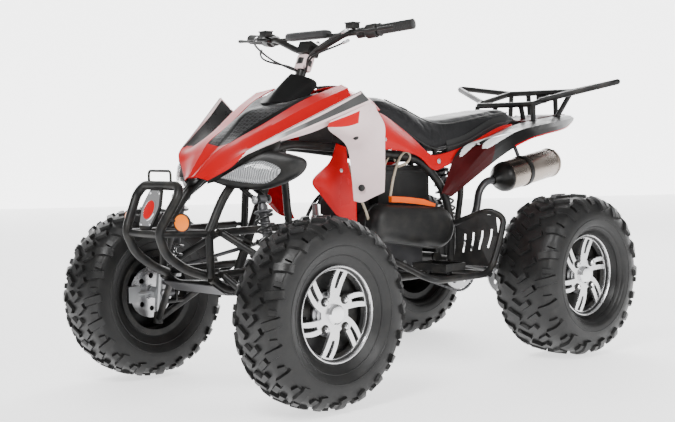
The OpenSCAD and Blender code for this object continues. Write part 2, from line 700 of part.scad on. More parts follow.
block_low = [-190, -90, 330];
block_size = [330, 186, 150];
module engine() color([0.45, 0.45, 0.46]) difference() {
    union() {
        translate(block_low) cube(block_size);
        translate([60, -80, 372]) cube([120, 150, 110]);
        translate([180, -70, 366]) cube([110, 130, 122]);
        translate([gear_x, sprocket_y - 4, gear_z]) rotate([-90, 0, 0]) cylinder(r = gear_r, h = 40,
            $fn = 64);
        translate([20, -60, 478]) cube([110, 110, 40]);
        for (s = [-1, 1]) bar([100, s * 60, rail_z], [100, s * 60, 340], 14);
    }
    bar([100, -rail_y, rail_z], [100, rail_y, rail_z], 10 + seat_gap);
}
cover_front = [58, 492];
cover_rear = [-192, 460];
module cvt_cover() color([0.09, 0.09, 0.09]) {
    difference() {
        translate([0, 196, 0]) rotate([90, 0, 0]) linear_extrude(99.6) cover_outline(0);
        translate([0, 200, 0]) rotate([90, 0, 0]) linear_extrude(12)
            difference() {
                cover_outline(20);
                cover_outline(-12);
            }
    }
}
module cover_outline(extra) hull() {
    translate(cover_front) circle(r = 60 + extra, $fn = 64);
    translate(cover_rear) circle(r = 70 + extra, $fn = 64);
}
module airbox() color([0.06, 0.06, 0.06]) difference() {
    union() {
        translate([-240, -86, 480.4]) cube([250, 172, 190]);
        translate([20, -60, 518.4]) cube([120, 110, 130]);
    }
    rails_cut(seat_gap);
}

// Exhaust: pipe and silencer
silencer_front = [-580, 122, 611];
silencer_dir = unit([-306, 0, 48]);
module pipe() difference() {
    tube([[-186, 20, 420], [-330, 20, 432], [-420, 96, 440], [-462, 108, 490], [-478, 110, 570], [-510,
        116, 602],
        silencer_front - silencer_dir * 10], 14);
    translate(block_low) cube(block_size);
    silencer();
}
module silencer() color([0.65, 0.6, 0.56]) difference() {
    along(silencer_front, silencer_dir) {
        translate([0, 0, -17]) cylinder(r1 = 26, r2 = silencer_r - 4, h = 17, $fn = 64);
        cylinder(r = silencer_r, h = 306, $fn = 64);
        translate([0, 0, 118]) cylinder(r = silencer_r + 3, h = 20, $fn = 64);
    }
    along(silencer_front + silencer_dir * 250, silencer_dir) cylinder(r = 20, h = 60);
}
module hanger() difference() {
    bar(silencer_front + silencer_dir * 128, [-690, 70, 796], 7);
    silencer();
    tube(seat_rail, seat_rail_r);
}

module exhaust_pipe() color([0.12, 0.12, 0.12]) {
    pipe();
    hanger();
}

// ---- Footrests ----

side_bar_r = 11;
side_bar_path = [[96, rail_y, rail_z + 50], [90, 200, 384], [30, 348, 310], [-245, 348, 308], [-300, 345,
    400],
    [-342, 336, 490], [-316, 290, 516], [-284, 166, 470]];
module side_bars() color([0.1, 0.1, 0.11]) both() difference() {
    union() {
        tube(side_bar_path, side_bar_r, 30);
        bar([100, rail_y, rail_z], [96, rail_y, rail_z + 54], 11);
        bar([-262, rail_y, rail_z], [-248, 348, 308], 11);
        bar([-110, rail_y, rail_z], [-110, 348, 310], 11);
    }
    tube(lower_rail, frame_tube_r);
    tube(upper_rail, frame_tube_r);
}
module footpegs() color([0.12, 0.12, 0.13]) both() difference() {
    union() {
        translate([-150, 176, 330]) cube([96, 150, 14]);
        for (y = [176, 320]) translate([-150, y, 330]) cube([96, 6, 24]);
        for (x = [-150, -60]) translate([x, 176, 330]) cube([6, 150, 24]);
        for (y = [200, 290]) bar([-110, y, 312], [-110, y, 334], 9);
    }
    bar([-110, rail_y, rail_z], [-110, 348, 310], 11);
}
module heel_guards() color([0.09, 0.09, 0.09]) both() difference() {
    panel([[[-268, 186, 462], [-300, 262, 502], [-322, 316, 498]], [[-264, 186, 400], [-284, 262, 420],
        [-312, 332, 430]],
        [[-246, 186, 330], [-256, 262, 330], [-266, 334, 330]]], 3);
    for (i = [0 : 3]) translate([-330, 214 + i * 30, 372 + i * 6]) cube([120, 8, 62]);
    tube(side_bar_path, side_bar_r, 30);
    bar([-262, rail_y, rail_z], [-248, 348, 308], 11);
    tube(upper_rail, frame_tube_r + seat_gap);
}

// ---- Bodywork ----

// Crease line of the front mudguard and the two edges of its striped flank
fw = fender_half_w;
crease = [[724, 14, 668], [660, 30, 735], [600, 60, 776], [500, 85, 826], [370, 125, 896], [240, 160, 943]];
flank_top = [[712, 40, 664], [676, 112, 706], [646, 159, 741], [560, 208, 790], [441, fw - 63, 855], [331,
    fw, 917]];
flank_low = [[704, 56, 658], [668, 118, 694], [640, 162, 732], [546, 211, 774], [411, fw - 62, 829], [288,
    fw + 1, 880]];
module front_fenders() color([0.75, 0.03, 0.03]) both()
    panel([for (i = [0 : 5]) [flank_low[i], flank_top[i], lerp(flank_top[i], crease[i], 0.5) + [0, 0, 5],
        crease[i]]], panel_t);

// Pale guard between the front wheel and the rider's leg
module leg_guards() color([0.86, 0.72, 0.72]) both()
    panel([[[407, fw - 60, 826.4], [350, fw - 24, 854.4], [288, fw + 1, 878.4], [260, fw, 852]],
        [[400, fw - 72, 800], [352, fw - 36, 795], [280, fw - 6, 815], [232, fw, 812]],
        [[322, fw - 78, 750], [300, fw - 60, 752], [268, fw - 30, 756], [232, fw, 760]],
        [[300, fw - 82, 662], [282, fw - 62, 664], [258, fw - 30, 665], [235, fw, 665]],
        [[298, fw - 76, 580], [282, fw - 56, 575], [262, fw - 28, 590], [240, fw, 606]]], panel_t);

// Centre of the bonnet: red nose valley, then the peaked vent
function row(a, b) = [a, [b.x, 0, b.z]];
module bonnet() color([0.1, 0.1, 0.1]) difference() {
    bonnet_skin(3.6);
    along(column_at(820), column_dir) cylinder(r = column_r + 7, h = 200);
}
module bonnet_skin(g)
    panel([for (p = [[[724, 5, 672], 668], [[660, 24, 735], 722], [[600, 60 - g, 776], 770], [[500,
        85 - g, 826], 862],
        [[370, 125 - g, 896], 884], [[300, 138 - g, 918], 896]])
        [[p[0].x, p[0].y, p[0].z], [p[0].x, 0, p[1]], [p[0].x, -p[0].y, p[0].z]]], panel_t);

// Black cowl in front of the handlebar
module cowl() color([0.13, 0.13, 0.13])
    panel([for (t = [0, 0.5, 1]) [for (s = [1, 0.55, 0, -0.55, -1])
        let (a = abs(s) == 1 ? [322, 104, 913] : abs(s) > 0 ? [388, 62, 893] : [412, 0, 890],
             b = abs(s) == 1 ? [286, 96, 936] : abs(s) > 0 ? [268, 54, 966] : [308, 0, 984])
        [lerp(a.x, b.x, t), sign(s) * lerp(a.y, b.y, t), lerp(a.z, b.z, t)]]], panel_t);

// Headlights: black housing and clear lens
module lamp_body() hull() {
    for (p = [[694, 56, 652, 8], [588, 176, 724, 12], [606, 196, 640, 12], [536, 246, 690, 16], [520, 200,
        640, 12],
        [520, 170, 700, 10], [640, 110, 690, 8]])
        translate([p[0], p[1], p[2]]) sphere(r = p[3], $fn = 16);
}
module headlight_housings() color([0.12, 0.12, 0.13]) both() difference() {
    lamp_body();
    tube(upper_rail, frame_tube_r + seat_gap);
    shock_bars(seat_gap);
}
module headlight_lenses() color([0.9, 0.92, 0.95]) both() difference() {
    hull() for (p = [[694, 98, 664], [586, 182, 716], [566, 232, 688], [606, 206, 642], [650, 150, 650]])
        translate(p) sphere(r = 9, $fn = 16);
    lamp_body();
}

// Red shrouds beside the engine
module side_shrouds() color([0.8, 0.04, 0.03]) both()
    panel([[[254, 146, 758], [234, 150, 750], [216, 150, 745]], [[300, 162, 700], [262, 172, 690], [222,
        168, 680]],
        [[366, 152, 642], [290, 174, 625], [196, 170, 600]], [[320, 150, 586], [270, 166, 575], [190, 166,
            560]],
        [[262, 146, 530], [230, 152, 516], [176, 152, 502]]], panel_t);

// Red cover between the mudguards and the seat
module tank_cover() color([0.75, 0.03, 0.03])
    panel([for (p = [[226, 930, 100, 938, 152, 925, 168, 850], [140, 932, 92, 926, 140, 900, 164, 850],
        [46, 915, 62, 912, 100, 894, 140, 862]])
        [for (s = [1, -1]) each s > 0
            ? [[p[0], p[6], p[7]], [p[0], p[4], p[5]], [p[0], p[2], p[3]], [p[0], 0, p[1]]]
            : [[p[0], -p[2], p[3]], [p[0], -p[4], p[5]], [p[0], -p[6], p[7]]]]], panel_t);

// Fuel tank on the upper rails, with its rest under the cover
module fuel_tank() color([0.15, 0.15, 0.15]) difference() {
    union() {
        translate([48, -82, 740]) cube([160, 164, 162]);
        for (x = [80, 180]) bar([x, 0, 890], [x, 0, x > 100 ? 929 : 917], 14);
    }
    rails_cut(0);
    tank_cover();
}

// Red side panels, from under the tank cover back to the tail
side_top = [[224, 170, 844], [140, 166, 843], [60, 150, 852], [-60, 124, 806], [-120, 126, 768], [-190,
    132, 716],
    [-240, 132, 706], [-380, 135, 734], [-560, 130, 792], [-660, 116, 806]];
side_low = [[224, 172, 752], [140, 174, 742], [45, 166, 732], [-60, 152, 721], [-140, 142, 700], [-205,
    141, 656],
    [-262, 138, 662], [-380, 136, 696], [-560, 131, 756], [-660, 118, 782]];
module side_panels() color([0.75, 0.03, 0.03]) both()
    panel([for (i = [0 : len(side_top) - 1])
        [side_low[i], (side_top[i] + side_low[i]) / 2 + [0, i < 4 ? 10 : 3, 0], side_top[i]]], panel_t);

// Black tail: flared wings over the rear wheels and the cover between them
wing_in = [[-226, 158, 616], [-330, 144, 716], [-480, 144, 760], [-650, 132, 800], [-900, 104, 828],
    [tail_x + 10, 70, 834]];
wing_mid = [[-290, 200, 640], [-420, 220, 740], [-540, 250, 782], [-650, 238, 796], [-860, 190, 812],
    [tail_x + 8, 100, 822]];
wing_out = [[-322, 198, 594], [-440, 244, 692], [-560, 266, 744], [-680, 252, 764], [-860, 205, 782],
    [tail_x + 16, 98, 806]];
module wing_shell(t) both()
    panel([for (i = [0 : 5]) [wing_out[i], wing_mid[i], wing_in[i]]], t);
module rear_fenders() color([0.1, 0.1, 0.1]) wing_shell(panel_t);
seat_end = -725;
module tail_cover() color([0.35, 0.02, 0.03]) difference() {
    tail_top();
    both() rack_struts(seat_gap);
}
module tail_top()
    panel([for (p = [[seat_end - seat_gap, 104, 815, 826], [-800, 104, 818, 830], [-930, 94, 834, 838],
        [tail_x + 12, 60, 838, 838]])
        [for (s = [1, 0, -1]) [p[0], s * p[1], s == 0 ? p[3] : p[2]]]], panel_t);
module tail_light() color([0.8, 0.05, 0.05])
    translate([tail_x + 44, 0, 819.6]) rotate([0, -90, 0]) linear_extrude(42)
        hull() for (s = [-1, 1]) translate([0, s * 34]) circle(r = 13.6);

// Seat: a padded body lofted through its cross-sections
seat_rings = [[30, 876, 897, 84, 45], [-40, 826, 912, 98, 55], [-135, 762, 876, 114, 72], [-222, 722, 838,
    124, 92],
    [-300, 726, 827, 126, 104], [-400, 746, 836, 128, 112], [-540, 796, 848, 124, 112], [-650, 810, 855,
        108, 98],
    [seat_end, 812, 824, 90, 70]];
module seat() color([0.12, 0.12, 0.13])
    loft([for (s = seat_rings) let (x = s[0], b = s[1], h = s[2] - s[1], w = s[3] * seat_half_w / 128,
        t = s[4] * seat_half_w / 128)
        [for (p = [[0, 1], [t / 2, 0.99], [t, 0.93], [(w + t) / 2, 0.75], [w - 2, 0.3], [w, 0],
            [-w, 0], [-w + 2, 0.3], [(-w - t) / 2, 0.75], [-t, 0.93], [-t / 2, 0.99]]) [x, p[0],
                b + h * p[1]]]]);

// Rear rack: two cross tubes, side wings and struts
module rack_struts(extra) {
    bar([-782, 62, 876], [-799, 66, 797], rack_tube_r - 1 + extra);
    bar([-990, 65, 920], [-998, 62, 806], rack_tube_r - 1 + extra);
}
module rear_rack() color([0.1, 0.1, 0.11]) difference() {
    union() {
        tube(full([[-766, 134, 876], [-800, 140, 886], [-984, 150, 922]]), rack_tube_r, 24);
        bar([-984, -150, 922], [-984, 150, 922], rack_tube_r);
        both() {
            tube([[-984, 150, 922], [-958, 405, 955], [-800, 138, 888]], rack_tube_r, 40);
            rack_struts(0);
            bar([-766, 134, 874], [-761, 137, 809.5], rack_tube_r - 1);
            bar([-984, 144, 918], [-935, 112, 824], rack_tube_r - 1);
        }
        along([-984, 0, 904], [-1, 0, 0]) cylinder(r = 22, h = 26);
    }
    both() tube(seat_rail, seat_rail_r);
    wing_shell(panel_t + 36);
}

// ---- Handlebar ----

clamp = column_top + column_dir * 14;
bar_path = [[clamp.x, 0, clamp.z], [clamp.x, 52, clamp.z], [clamp.x - 8, 168, clamp.z + 44],
    [clamp.x - 46, 240, clamp.z + 46],
    [clamp.x - 84, bar_half_w, clamp.z + 60]];
module steering_column() color([0.2, 0.2, 0.21]) difference() {
    union() {
        bar(column_at(column_foot_z), column_top, column_r);
        along(column_at(pitman_z), column_dir) rotate([0, 0, 180]) translate([0, 0, -4]) linear_extrude(8) {
            circle(r = column_r + 7);
            translate([0, -pitman_side - 11]) square([pitman_len, 2 * pitman_side + 22]);
            for (s = [-1, 1]) translate([pitman_len, s * pitman_side]) circle(r = 11);
        }
        along(column_top - column_dir * 44, column_dir) cylinder(r = column_r + 10, h = 20);
        along(column_top - column_dir * 6, column_dir) translate([-24, -28, 0]) cube([48, 56, 40]);
    }
    bar([clamp.x, -60, clamp.z], [clamp.x, 60, clamp.z], bar_tube_r);
}
module handlebar() color([0.1, 0.1, 0.1]) union() {
    tube([for (i = [-4 : 4]) if (i != 0) i < 0 ? flip(bar_path[-i]) : bar_path[i]], bar_tube_r, 22);
    bar([clamp.x - 4, -140, clamp.z + 40], [clamp.x - 4, 140, clamp.z + 40], 6);
}
grip_dir = unit(bar_path[4] - bar_path[3]);
grip_start = bar_path[4] - grip_dir * 118;
module grips() color([0.12, 0.12, 0.12]) both() along(grip_start, grip_dir) difference() {
    union() {
        cylinder(r = grip_r, h = 122);
        cylinder(r = grip_r + 5, h = 5);
    }
    translate([0, 0, -1]) cylinder(r = bar_tube_r, h = 119);
}
module bar_pad() color([0.08, 0.08, 0.08]) difference() {
    translate([clamp.x, 0, clamp.z + 46]) rotate([90, 0, 0])
        linear_extrude(180, center = true) hull() for (s = [-12, 12]) translate([s, 0]) circle(r = 14);
    handlebar();
    steering_column();
}

// Switch housings, brake levers and their brackets
module controls() color([0.14, 0.14, 0.14]) difference() {
    both() {
        along(grip_start - grip_dir * 46, grip_dir) cylinder(r = 23, h = 42);
        along(grip_start - grip_dir * 80, grip_dir) cylinder(r = 17, h = 26);
        bar(grip_start - grip_dir * 70, grip_start - grip_dir * 62 + [40, 0, 2], 10);
        tube([grip_start - grip_dir * 62 + [38, 0, 2], grip_start + grip_dir * 10 + [62, 0, -6],
            grip_start + grip_dir * 108 + [64, 0, -8]], 6);
        translate(grip_start - grip_dir * 66 + [20, -24, 12]) cube([40, 44, 24]);
    }
    handlebar();
}

// Control cables that hang between the controls and the cowl
cable_r = 3.5;
cable_left = [[244, 206, 1080], [268, 176, 1064], [294, 130, 1046], [298, 88, 1030], [274, 42, 1011],
    [262, 19.2, 990], [276, 19.2, 960]];
cable_right = [[250, -212, 1070], [276, -186, 1054], [300, -142, 1036], [304, -92, 1022], [278, -42,
    1008], [262, -19.2, 990], [276, -19.2, 960]];
module cables() color([0.05, 0.05, 0.05]) {
    tube(cable_left, cable_r, 12, 8);
    tube(cable_right, cable_r, 12, 8);
}

// Places a sub-part in the frame that is centred on the overall length
module placed() translate([-box_mid_x, 0, 0]) children();

placed() front_tyre_left();
placed() front_tyre_right();
placed() front_rim_left();
placed() front_rim_right();
placed() front_hub_left();
placed() front_hub_right();
placed() knuckle_left();
placed() knuckle_right();
placed() tie_rod_left();
placed() tie_rod_right();
placed() upper_arms();
placed() lower_arms();
placed() shock_absorbers();
placed() coil_springs();
placed() lower_rails();
placed() upper_rails();
placed() front_frame();
placed() cross_tubes();
placed() seat_frame();
placed() front_bumper();
placed() skid_plate();
placed() swingarm();
placed() rear_axle();
placed() rear_rims();
placed() rear_tyres();
placed() rear_caliper();
placed() chain();
placed() engine();
placed() cvt_cover();
placed() airbox();
placed() exhaust_pipe();
placed() silencer();
placed() side_bars();
placed() footpegs();
placed() heel_guards();
placed() front_fenders();
placed() leg_guards();
placed() bonnet();
placed() cowl();
placed() headlight_housings();
placed() headlight_lenses();
placed() side_shrouds();
placed() tank_cover();
placed() fuel_tank();
placed() side_panels();
placed() rear_fenders();
placed() tail_cover();
placed() tail_light();
placed() seat();
placed() rear_rack();
placed() steering_column();
placed() handlebar();
placed() grips();
placed() bar_pad();
placed() controls();
placed() cables();
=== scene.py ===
"""Sport quad bike: the visual model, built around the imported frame."""
import math

import bpy
from mathutils import Matrix, Vector


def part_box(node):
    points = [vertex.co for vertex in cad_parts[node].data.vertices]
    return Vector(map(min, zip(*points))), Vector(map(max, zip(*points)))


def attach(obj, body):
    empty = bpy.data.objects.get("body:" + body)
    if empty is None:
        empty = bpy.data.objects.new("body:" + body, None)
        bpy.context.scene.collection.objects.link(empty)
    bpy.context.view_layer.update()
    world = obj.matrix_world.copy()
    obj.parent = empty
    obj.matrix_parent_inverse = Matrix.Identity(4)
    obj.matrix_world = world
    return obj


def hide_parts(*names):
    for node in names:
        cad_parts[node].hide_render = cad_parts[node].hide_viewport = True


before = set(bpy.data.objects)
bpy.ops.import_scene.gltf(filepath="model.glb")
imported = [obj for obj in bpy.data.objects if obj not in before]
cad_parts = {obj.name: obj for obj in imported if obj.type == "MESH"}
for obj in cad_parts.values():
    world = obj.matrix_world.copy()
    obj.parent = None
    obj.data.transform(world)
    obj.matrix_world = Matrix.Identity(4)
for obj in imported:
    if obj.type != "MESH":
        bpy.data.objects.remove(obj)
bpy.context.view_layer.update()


# ---- Places ----

def middle(node):
    """Middle of a CAD node's box."""
    low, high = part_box(node)
    return (Vector(low) + Vector(high)) / 2


# The points below are measured from the middle of the wheelbase, in metres
FRONT = middle("front_tyre_left")
WHEELBASE = 1.2
SHIFT = FRONT.x - WHEELBASE / 2
WHEEL_Z = FRONT.z
TYRE_R = FRONT.z
FRONT_Y = FRONT.y
REAR_Y = 0.402
FW = 0.34                     # half the width over the front fenders


def at(x, y, z):
    """A point given in metres from the middle of the wheelbase."""
    return Vector((x + SHIFT, y, z))


def sided(p, side):
    """The point on the left (side 1) or mirrored to the right (side -1)."""
    return Vector((p[0], p[1] * side, p[2]))


def flip(p):
    return sided(p, -1)


def mix(a, b, t):
    return a + (b - a) * t


def turns(count):
    """Angles of equal steps round a full turn."""
    return [2 * math.pi * k / count for k in range(count)]


def new_object(name, data):
    """An object for the data, linked into the scene."""
    made = bpy.data.objects.new(name, data)
    bpy.context.scene.collection.objects.link(made)
    return made


# ---- Materials ----

def nodes_of(name):
    """A new material with a Principled shader."""
    material = bpy.data.materials.new(name)
    material.use_nodes = True
    tree = material.node_tree
    shader = tree.nodes["Principled BSDF"]
    return material, tree, shader


def noise(tree, scale, detail=3.0, stretch=(1, 1, 1)):
    """Noise in the object's own coordinates."""
    place = tree.nodes.new("ShaderNodeTexCoord")
    mapping = tree.nodes.new("ShaderNodeMapping")
    texture = tree.nodes.new("ShaderNodeTexNoise")
    mapping.inputs["Scale"].default_value = stretch
    texture.inputs["Scale"].default_value = scale
    texture.inputs["Detail"].default_value = detail
    tree.links.new(place.outputs["Object"], mapping.inputs["Vector"])
    tree.links.new(mapping.outputs["Vector"], texture.inputs["Vector"])
    return texture.outputs["Fac"]


def settings(shader, **values):
    """Sets the shader's sockets: Coat_Weight=0.1 stands for the socket Coat Weight."""
    for socket, value in values.items():
        shader.inputs[socket.replace("_", " ")].default_value = value


def blend_colours(tree, factor, dark, light):
    """Mix of two colours, each of them a value or another node's output."""
    node = tree.nodes.new("ShaderNodeMix")
    node.data_type = "RGBA"
    tree.links.new(factor, node.inputs["Factor"])
    for socket, value in ((node.inputs[6], dark), (node.inputs[7], light)):
        if isinstance(value, bpy.types.NodeSocket):
            tree.links.new(value, socket)
        else:
            socket.default_value = (*value, 1)
    return node.outputs[2]


def ranged(tree, value, low, high, start=0.0, end=1.0):
    """The value, mapped from start..end to low..high."""
    node = tree.nodes.new("ShaderNodeMapRange")
    node.inputs["From Min"].default_value = start
    node.inputs["From Max"].default_value = end
    node.inputs["To Min"].default_value = low
    node.inputs["To Max"].default_value = high
    tree.links.new(value, node.inputs["Value"])
    return node.outputs["Result"]


def add_bump(tree, shader, height, strength, distance=0.001):
    node = tree.nodes.new("ShaderNodeBump")
    node.inputs["Strength"].default_value = strength
    node.inputs["Distance"].default_value = distance
    tree.links.new(height, node.inputs["Height"])
    tree.links.new(node.outputs["Normal"], shader.inputs["Normal"])


def surface(name, colour, rough=0.4, metal=0.0, coat=0.0, vary=0.12, blotch=9.0, grain=600.0, bump=0.08,
            stretch=(1, 1, 1), rough_vary=0.08, dust=0.0, sheen=0.0, shine=0.5):
    """A procedural finish: blotches of colour, uneven gloss, fine grain and dust; a grey is one number."""
    colour = colour if isinstance(colour, tuple) else (colour,) * 3
    material, tree, shader = nodes_of(name)
    patches = noise(tree, blotch, 5.0)
    dark = tuple(c * (1 - vary) for c in colour)
    light = tuple(min(c * (1 + vary), 1) for c in colour)
    tint = blend_colours(tree, ranged(tree, patches, 0, 1, 0.3, 0.7), dark, light)
    if dust:
        speck = ranged(tree, noise(tree, blotch * 3, 8.0), 0, dust, 0.45, 0.75)
        tint = blend_colours(tree, speck, tint, (0.24, 0.21, 0.17))
    tree.links.new(tint, shader.inputs["Base Color"])
    fine = noise(tree, grain, 2.0, stretch)
    tree.links.new(ranged(tree, patches, rough - rough_vary, rough + rough_vary, 0.3, 0.7),
                   shader.inputs["Roughness"])
    add_bump(tree, shader, fine, bump)
    settings(shader, Metallic=metal, Coat_Weight=coat, Coat_Roughness=0.06, Sheen_Weight=sheen,
             Specular_IOR_Level=shine)
    return material


def along_x(name, stops, coat, rough):
    """Bands of paint: (distance from the wheelbase's middle, colour) pairs, rear to front."""
    material, tree, shader = nodes_of(name)
    place = tree.nodes.new("ShaderNodeTexCoord")
    split = tree.nodes.new("ShaderNodeSeparateXYZ")
    ramp = tree.nodes.new("ShaderNodeValToRGB")
    tree.links.new(place.outputs["Object"], split.inputs[0])
    start, end = stops[0][0] + SHIFT, stops[-1][0] + SHIFT
    tree.links.new(ranged(tree, split.outputs[0], 0, 1, start, end), ramp.inputs["Fac"])
    bar = ramp.color_ramp
    span = end - start
    bar.elements[0].position = 0
    bar.elements[1].position = 1
    bar.elements[0].color = (*stops[0][1], 1)
    bar.elements[1].color = (*stops[-1][1], 1)
    for x, colour in stops[1:-1]:
        bar.elements.new((x + SHIFT - start) / span).color = (*colour, 1)
    patches = noise(tree, 12, 4)
    soft = blend_colours(tree, ranged(tree, patches, 0, 0.08, 0.3, 0.7), ramp.outputs["Color"],
                         (0.3, 0.3, 0.3))
    tree.links.new(soft, shader.inputs["Base Color"])
    tree.links.new(ranged(tree, patches, rough - 0.05, rough + 0.05, 0.3, 0.7), shader.inputs["Roughness"])
    add_bump(tree, shader, noise(tree, 300, 2), 0.03)
    settings(shader, Coat_Weight=coat)
    return material


def hex_mesh(name):
    """Black grille with a pattern of small holes, drawn as darker cell middles (painted shade) and a bump."""
    material, tree, shader = nodes_of(name)
    place = tree.nodes.new("ShaderNodeTexCoord")
    cells = tree.nodes.new("ShaderNodeTexVoronoi")
    cells.inputs["Scale"].default_value = 90
    cells.inputs["Randomness"].default_value = 0.12
    cells.feature = "DISTANCE_TO_EDGE"
    tree.links.new(place.outputs["Object"], cells.inputs["Vector"])
    # Cell middles are darker than the edges: painted shade in the holes.
    edge = ranged(tree, cells.outputs["Distance"], 1, 0, 0.06, 0.16)
    tree.links.new(blend_colours(tree, edge, (0.002, 0.002, 0.002), (0.03, 0.03, 0.032)),
                   shader.inputs["Base Color"])
    add_bump(tree, shader, edge, 0.9, 0.004)
    settings(shader, Roughness=0.45)
    return material


def vinyl(name):
    """Grained black seat cover."""
    material, tree, shader = nodes_of(name)
    place = tree.nodes.new("ShaderNodeTexCoord")
    cells = tree.nodes.new("ShaderNodeTexVoronoi")
    cells.inputs["Scale"].default_value = 420
    tree.links.new(place.outputs["Object"], cells.inputs["Vector"])
    patches = noise(tree, 8, 5)
    tint = blend_colours(tree, patches, (0.007, 0.007, 0.008), (0.016, 0.016, 0.017))
    tree.links.new(tint, shader.inputs["Base Color"])
    tree.links.new(ranged(tree, patches, 0.38, 0.55), shader.inputs["Roughness"])
    add_bump(tree, shader, cells.outputs["Distance"], 0.35, 0.0006)
    settings(shader, Sheen_Weight=0.03, Specular_IOR_Level=0.2)
    return material


def clear_lens(name):
    """Clear plastic with fine ribs, whose light and dark colour bands are painted highlights and shade."""
    material, tree, shader = nodes_of(name)
    place = tree.nodes.new("ShaderNodeTexCoord")
    wave = tree.nodes.new("ShaderNodeTexWave")
    wave.inputs["Scale"].default_value = 60
    wave.bands_direction = "Y"
    tree.links.new(place.outputs["Object"], wave.inputs["Vector"])
    # Bands of light and dark colour along the ribs: painted highlights and shade.
    tree.links.new(blend_colours(tree, wave.outputs["Fac"], (0.3, 0.31, 0.32), (0.86, 0.88, 0.9)),
                   shader.inputs["Base Color"])
    add_bump(tree, shader, wave.outputs["Fac"], 0.5, 0.003)
    settings(shader, Roughness=0.08, Transmission_Weight=0.55, Coat_Weight=1.0)
    return material


RED = (0.5, 0.001, 0.004)
M = {
    "red": surface("gloss_red", RED, 0.3, coat=0.05, shine=0.14, vary=0.07, blotch=5, grain=260, bump=0.03,
                   rough_vary=0.04),
    "deep_red": surface("deep_red", (0.04, 0.0005, 0.001), 0.34, shine=0.12, vary=0.3, bump=0.04),
    # Pale pink: painted reflection, used for the front fenders' edge strip and back faces, the leg guards and
    # the clamp's foot.
    "pale": surface("pink_painted_reflection", (0.78, 0.6, 0.6), 0.34, coat=0.4, vary=0.06, blotch=14, bump=0.04),
    "white": surface("stripe_white", 0.78, 0.25, coat=0.6, vary=0.03, bump=0.03),
    "gloss_black": surface("gloss_black", 0.006, 0.34, coat=0.04, shine=0.2, vary=0.2, grain=300,
                           bump=0.03),
    "plastic": surface("black_plastic", 0.008, 0.42, shine=0.35, vary=0.2, grain=900, bump=0.25, dust=0.05),
    "cowl": surface("cowl_black", 0.005, 0.4, shine=0.14, vary=0.15, grain=900, bump=0.15),
    "frame": surface("frame_black", 0.007, 0.4, shine=0.28, vary=0.2, grain=700, bump=0.12, dust=0.08),
    "cast": surface("cast_alloy", (0.46, 0.47, 0.48), 0.42, metal=0.9, vary=0.12, grain=500, bump=0.35,
                    dust=0.12),
    "steel": surface("machined_steel", (0.52, 0.52, 0.53), 0.3, metal=1.0, vary=0.1, grain=160, bump=0.12,
                     stretch=(1, 18, 1), dust=0.05),
    "dark_steel": surface("dark_steel", (0.09, 0.09, 0.095), 0.42, metal=0.8, vary=0.2, grain=500,
                          bump=0.2, dust=0.1),
    "chrome": surface("chrome", (0.8, 0.8, 0.81), 0.07, metal=1.0, vary=0.03, grain=120, bump=0.02,
                      rough_vary=0.03),
    "rim": surface("machined_rim", (0.74, 0.74, 0.75), 0.26, metal=0.9, vary=0.05, grain=220, bump=0.06,
                   stretch=(1, 25, 1), rough_vary=0.05, dust=0.03),
    "tyre": surface("tyre_rubber", 0.006, 0.42, vary=0.2, blotch=14, grain=420, bump=0.3, dust=0.02,
                    shine=0.4),
    "rubber": surface("rubber", 0.014, 0.58, vary=0.2, grain=500, bump=0.25),
    "spring": surface("spring_paint", 0.012, 0.3, shine=0.5, vary=0.08, grain=300, bump=0.06),
    "stainless": surface("brushed_stainless", (0.36, 0.31, 0.27), 0.26, metal=1.0, vary=0.16, grain=110,
                         bump=0.2,
                         stretch=(1, 40, 40), dust=0.05),
    "amber": surface("amber_reflector", (0.9, 0.2, 0.002), 0.3, coat=0.15, shine=0.2, vary=0.1, grain=350,
                     bump=0.3),
    "red_lens": surface("red_lens", (0.5, 0.008, 0.008), 0.12, coat=1.0, vary=0.1, grain=350, bump=0.3),
    "orange": surface("orange_strip", (0.85, 0.11, 0.002), 0.4, shine=0.2, vary=0.08, bump=0.05),
    "hose": surface("pale_hose", (0.42, 0.36, 0.27), 0.42, vary=0.12, bump=0.08),
    "pad": surface("bar_pad", (0.014, 0.014, 0.015), 0.6, vary=0.2, grain=900, bump=0.35, sheen=0.15),
    "grille": hex_mesh("vent_mesh"),
    "vinyl": vinyl("seat_vinyl"),
    "lens": clear_lens("lamp_lens"),
    "stripe": along_x("fender_stripe", [(0.36, (0.005, 0.005, 0.005)), (0.47, (0.009, 0.009, 0.009)),
                                        (0.485, (0.1, 0.1, 0.1)), (0.53, (0.2, 0.2, 0.2)),
                                        (0.56, (0.8, 0.8, 0.8)), (0.66, (0.86, 0.86, 0.86))], 0.1, 0.4),
}


# ---- Shapes ----

def unit(v):
    return v.normalized() if v.length > 1e-9 else Vector((0, 0, 1))


def curve_through(points, steps):
    """Catmull-Rom curve through the points."""
    out = []
    for i in range(len(points) - 1):
        p1, p2 = points[i], points[i + 1]
        p0 = points[i - 1] if i else p1 * 2 - p2
        p3 = points[i + 2] if i + 2 < len(points) else p2 * 2 - p1
        for k in range(steps):
            t = k / steps
            out.append(0.5 * (2 * p1 + (p2 - p0) * t + (2 * p0 - 5 * p1 + 4 * p2 - p3) * t * t
                              + (3 * p1 - p0 - 3 * p2 + p3) * t ** 3))
    out.append(points[-1])
    return out


def rounded(points, bend, steps=6):
    """The path with each corner rounded."""
    out = [points[0]]
    for a, p, b in zip(points, points[1:], points[2:]):
        d = min(bend, (a - p).length * 0.45, (b - p).length * 0.45)
        start, end = p + unit(a - p) * d, p + unit(b - p) * d
        out += [mix(mix(start, p, k / steps), mix(p, end, k / steps), k / steps) for k in range(steps + 1)]
    return out + [points[-1]]


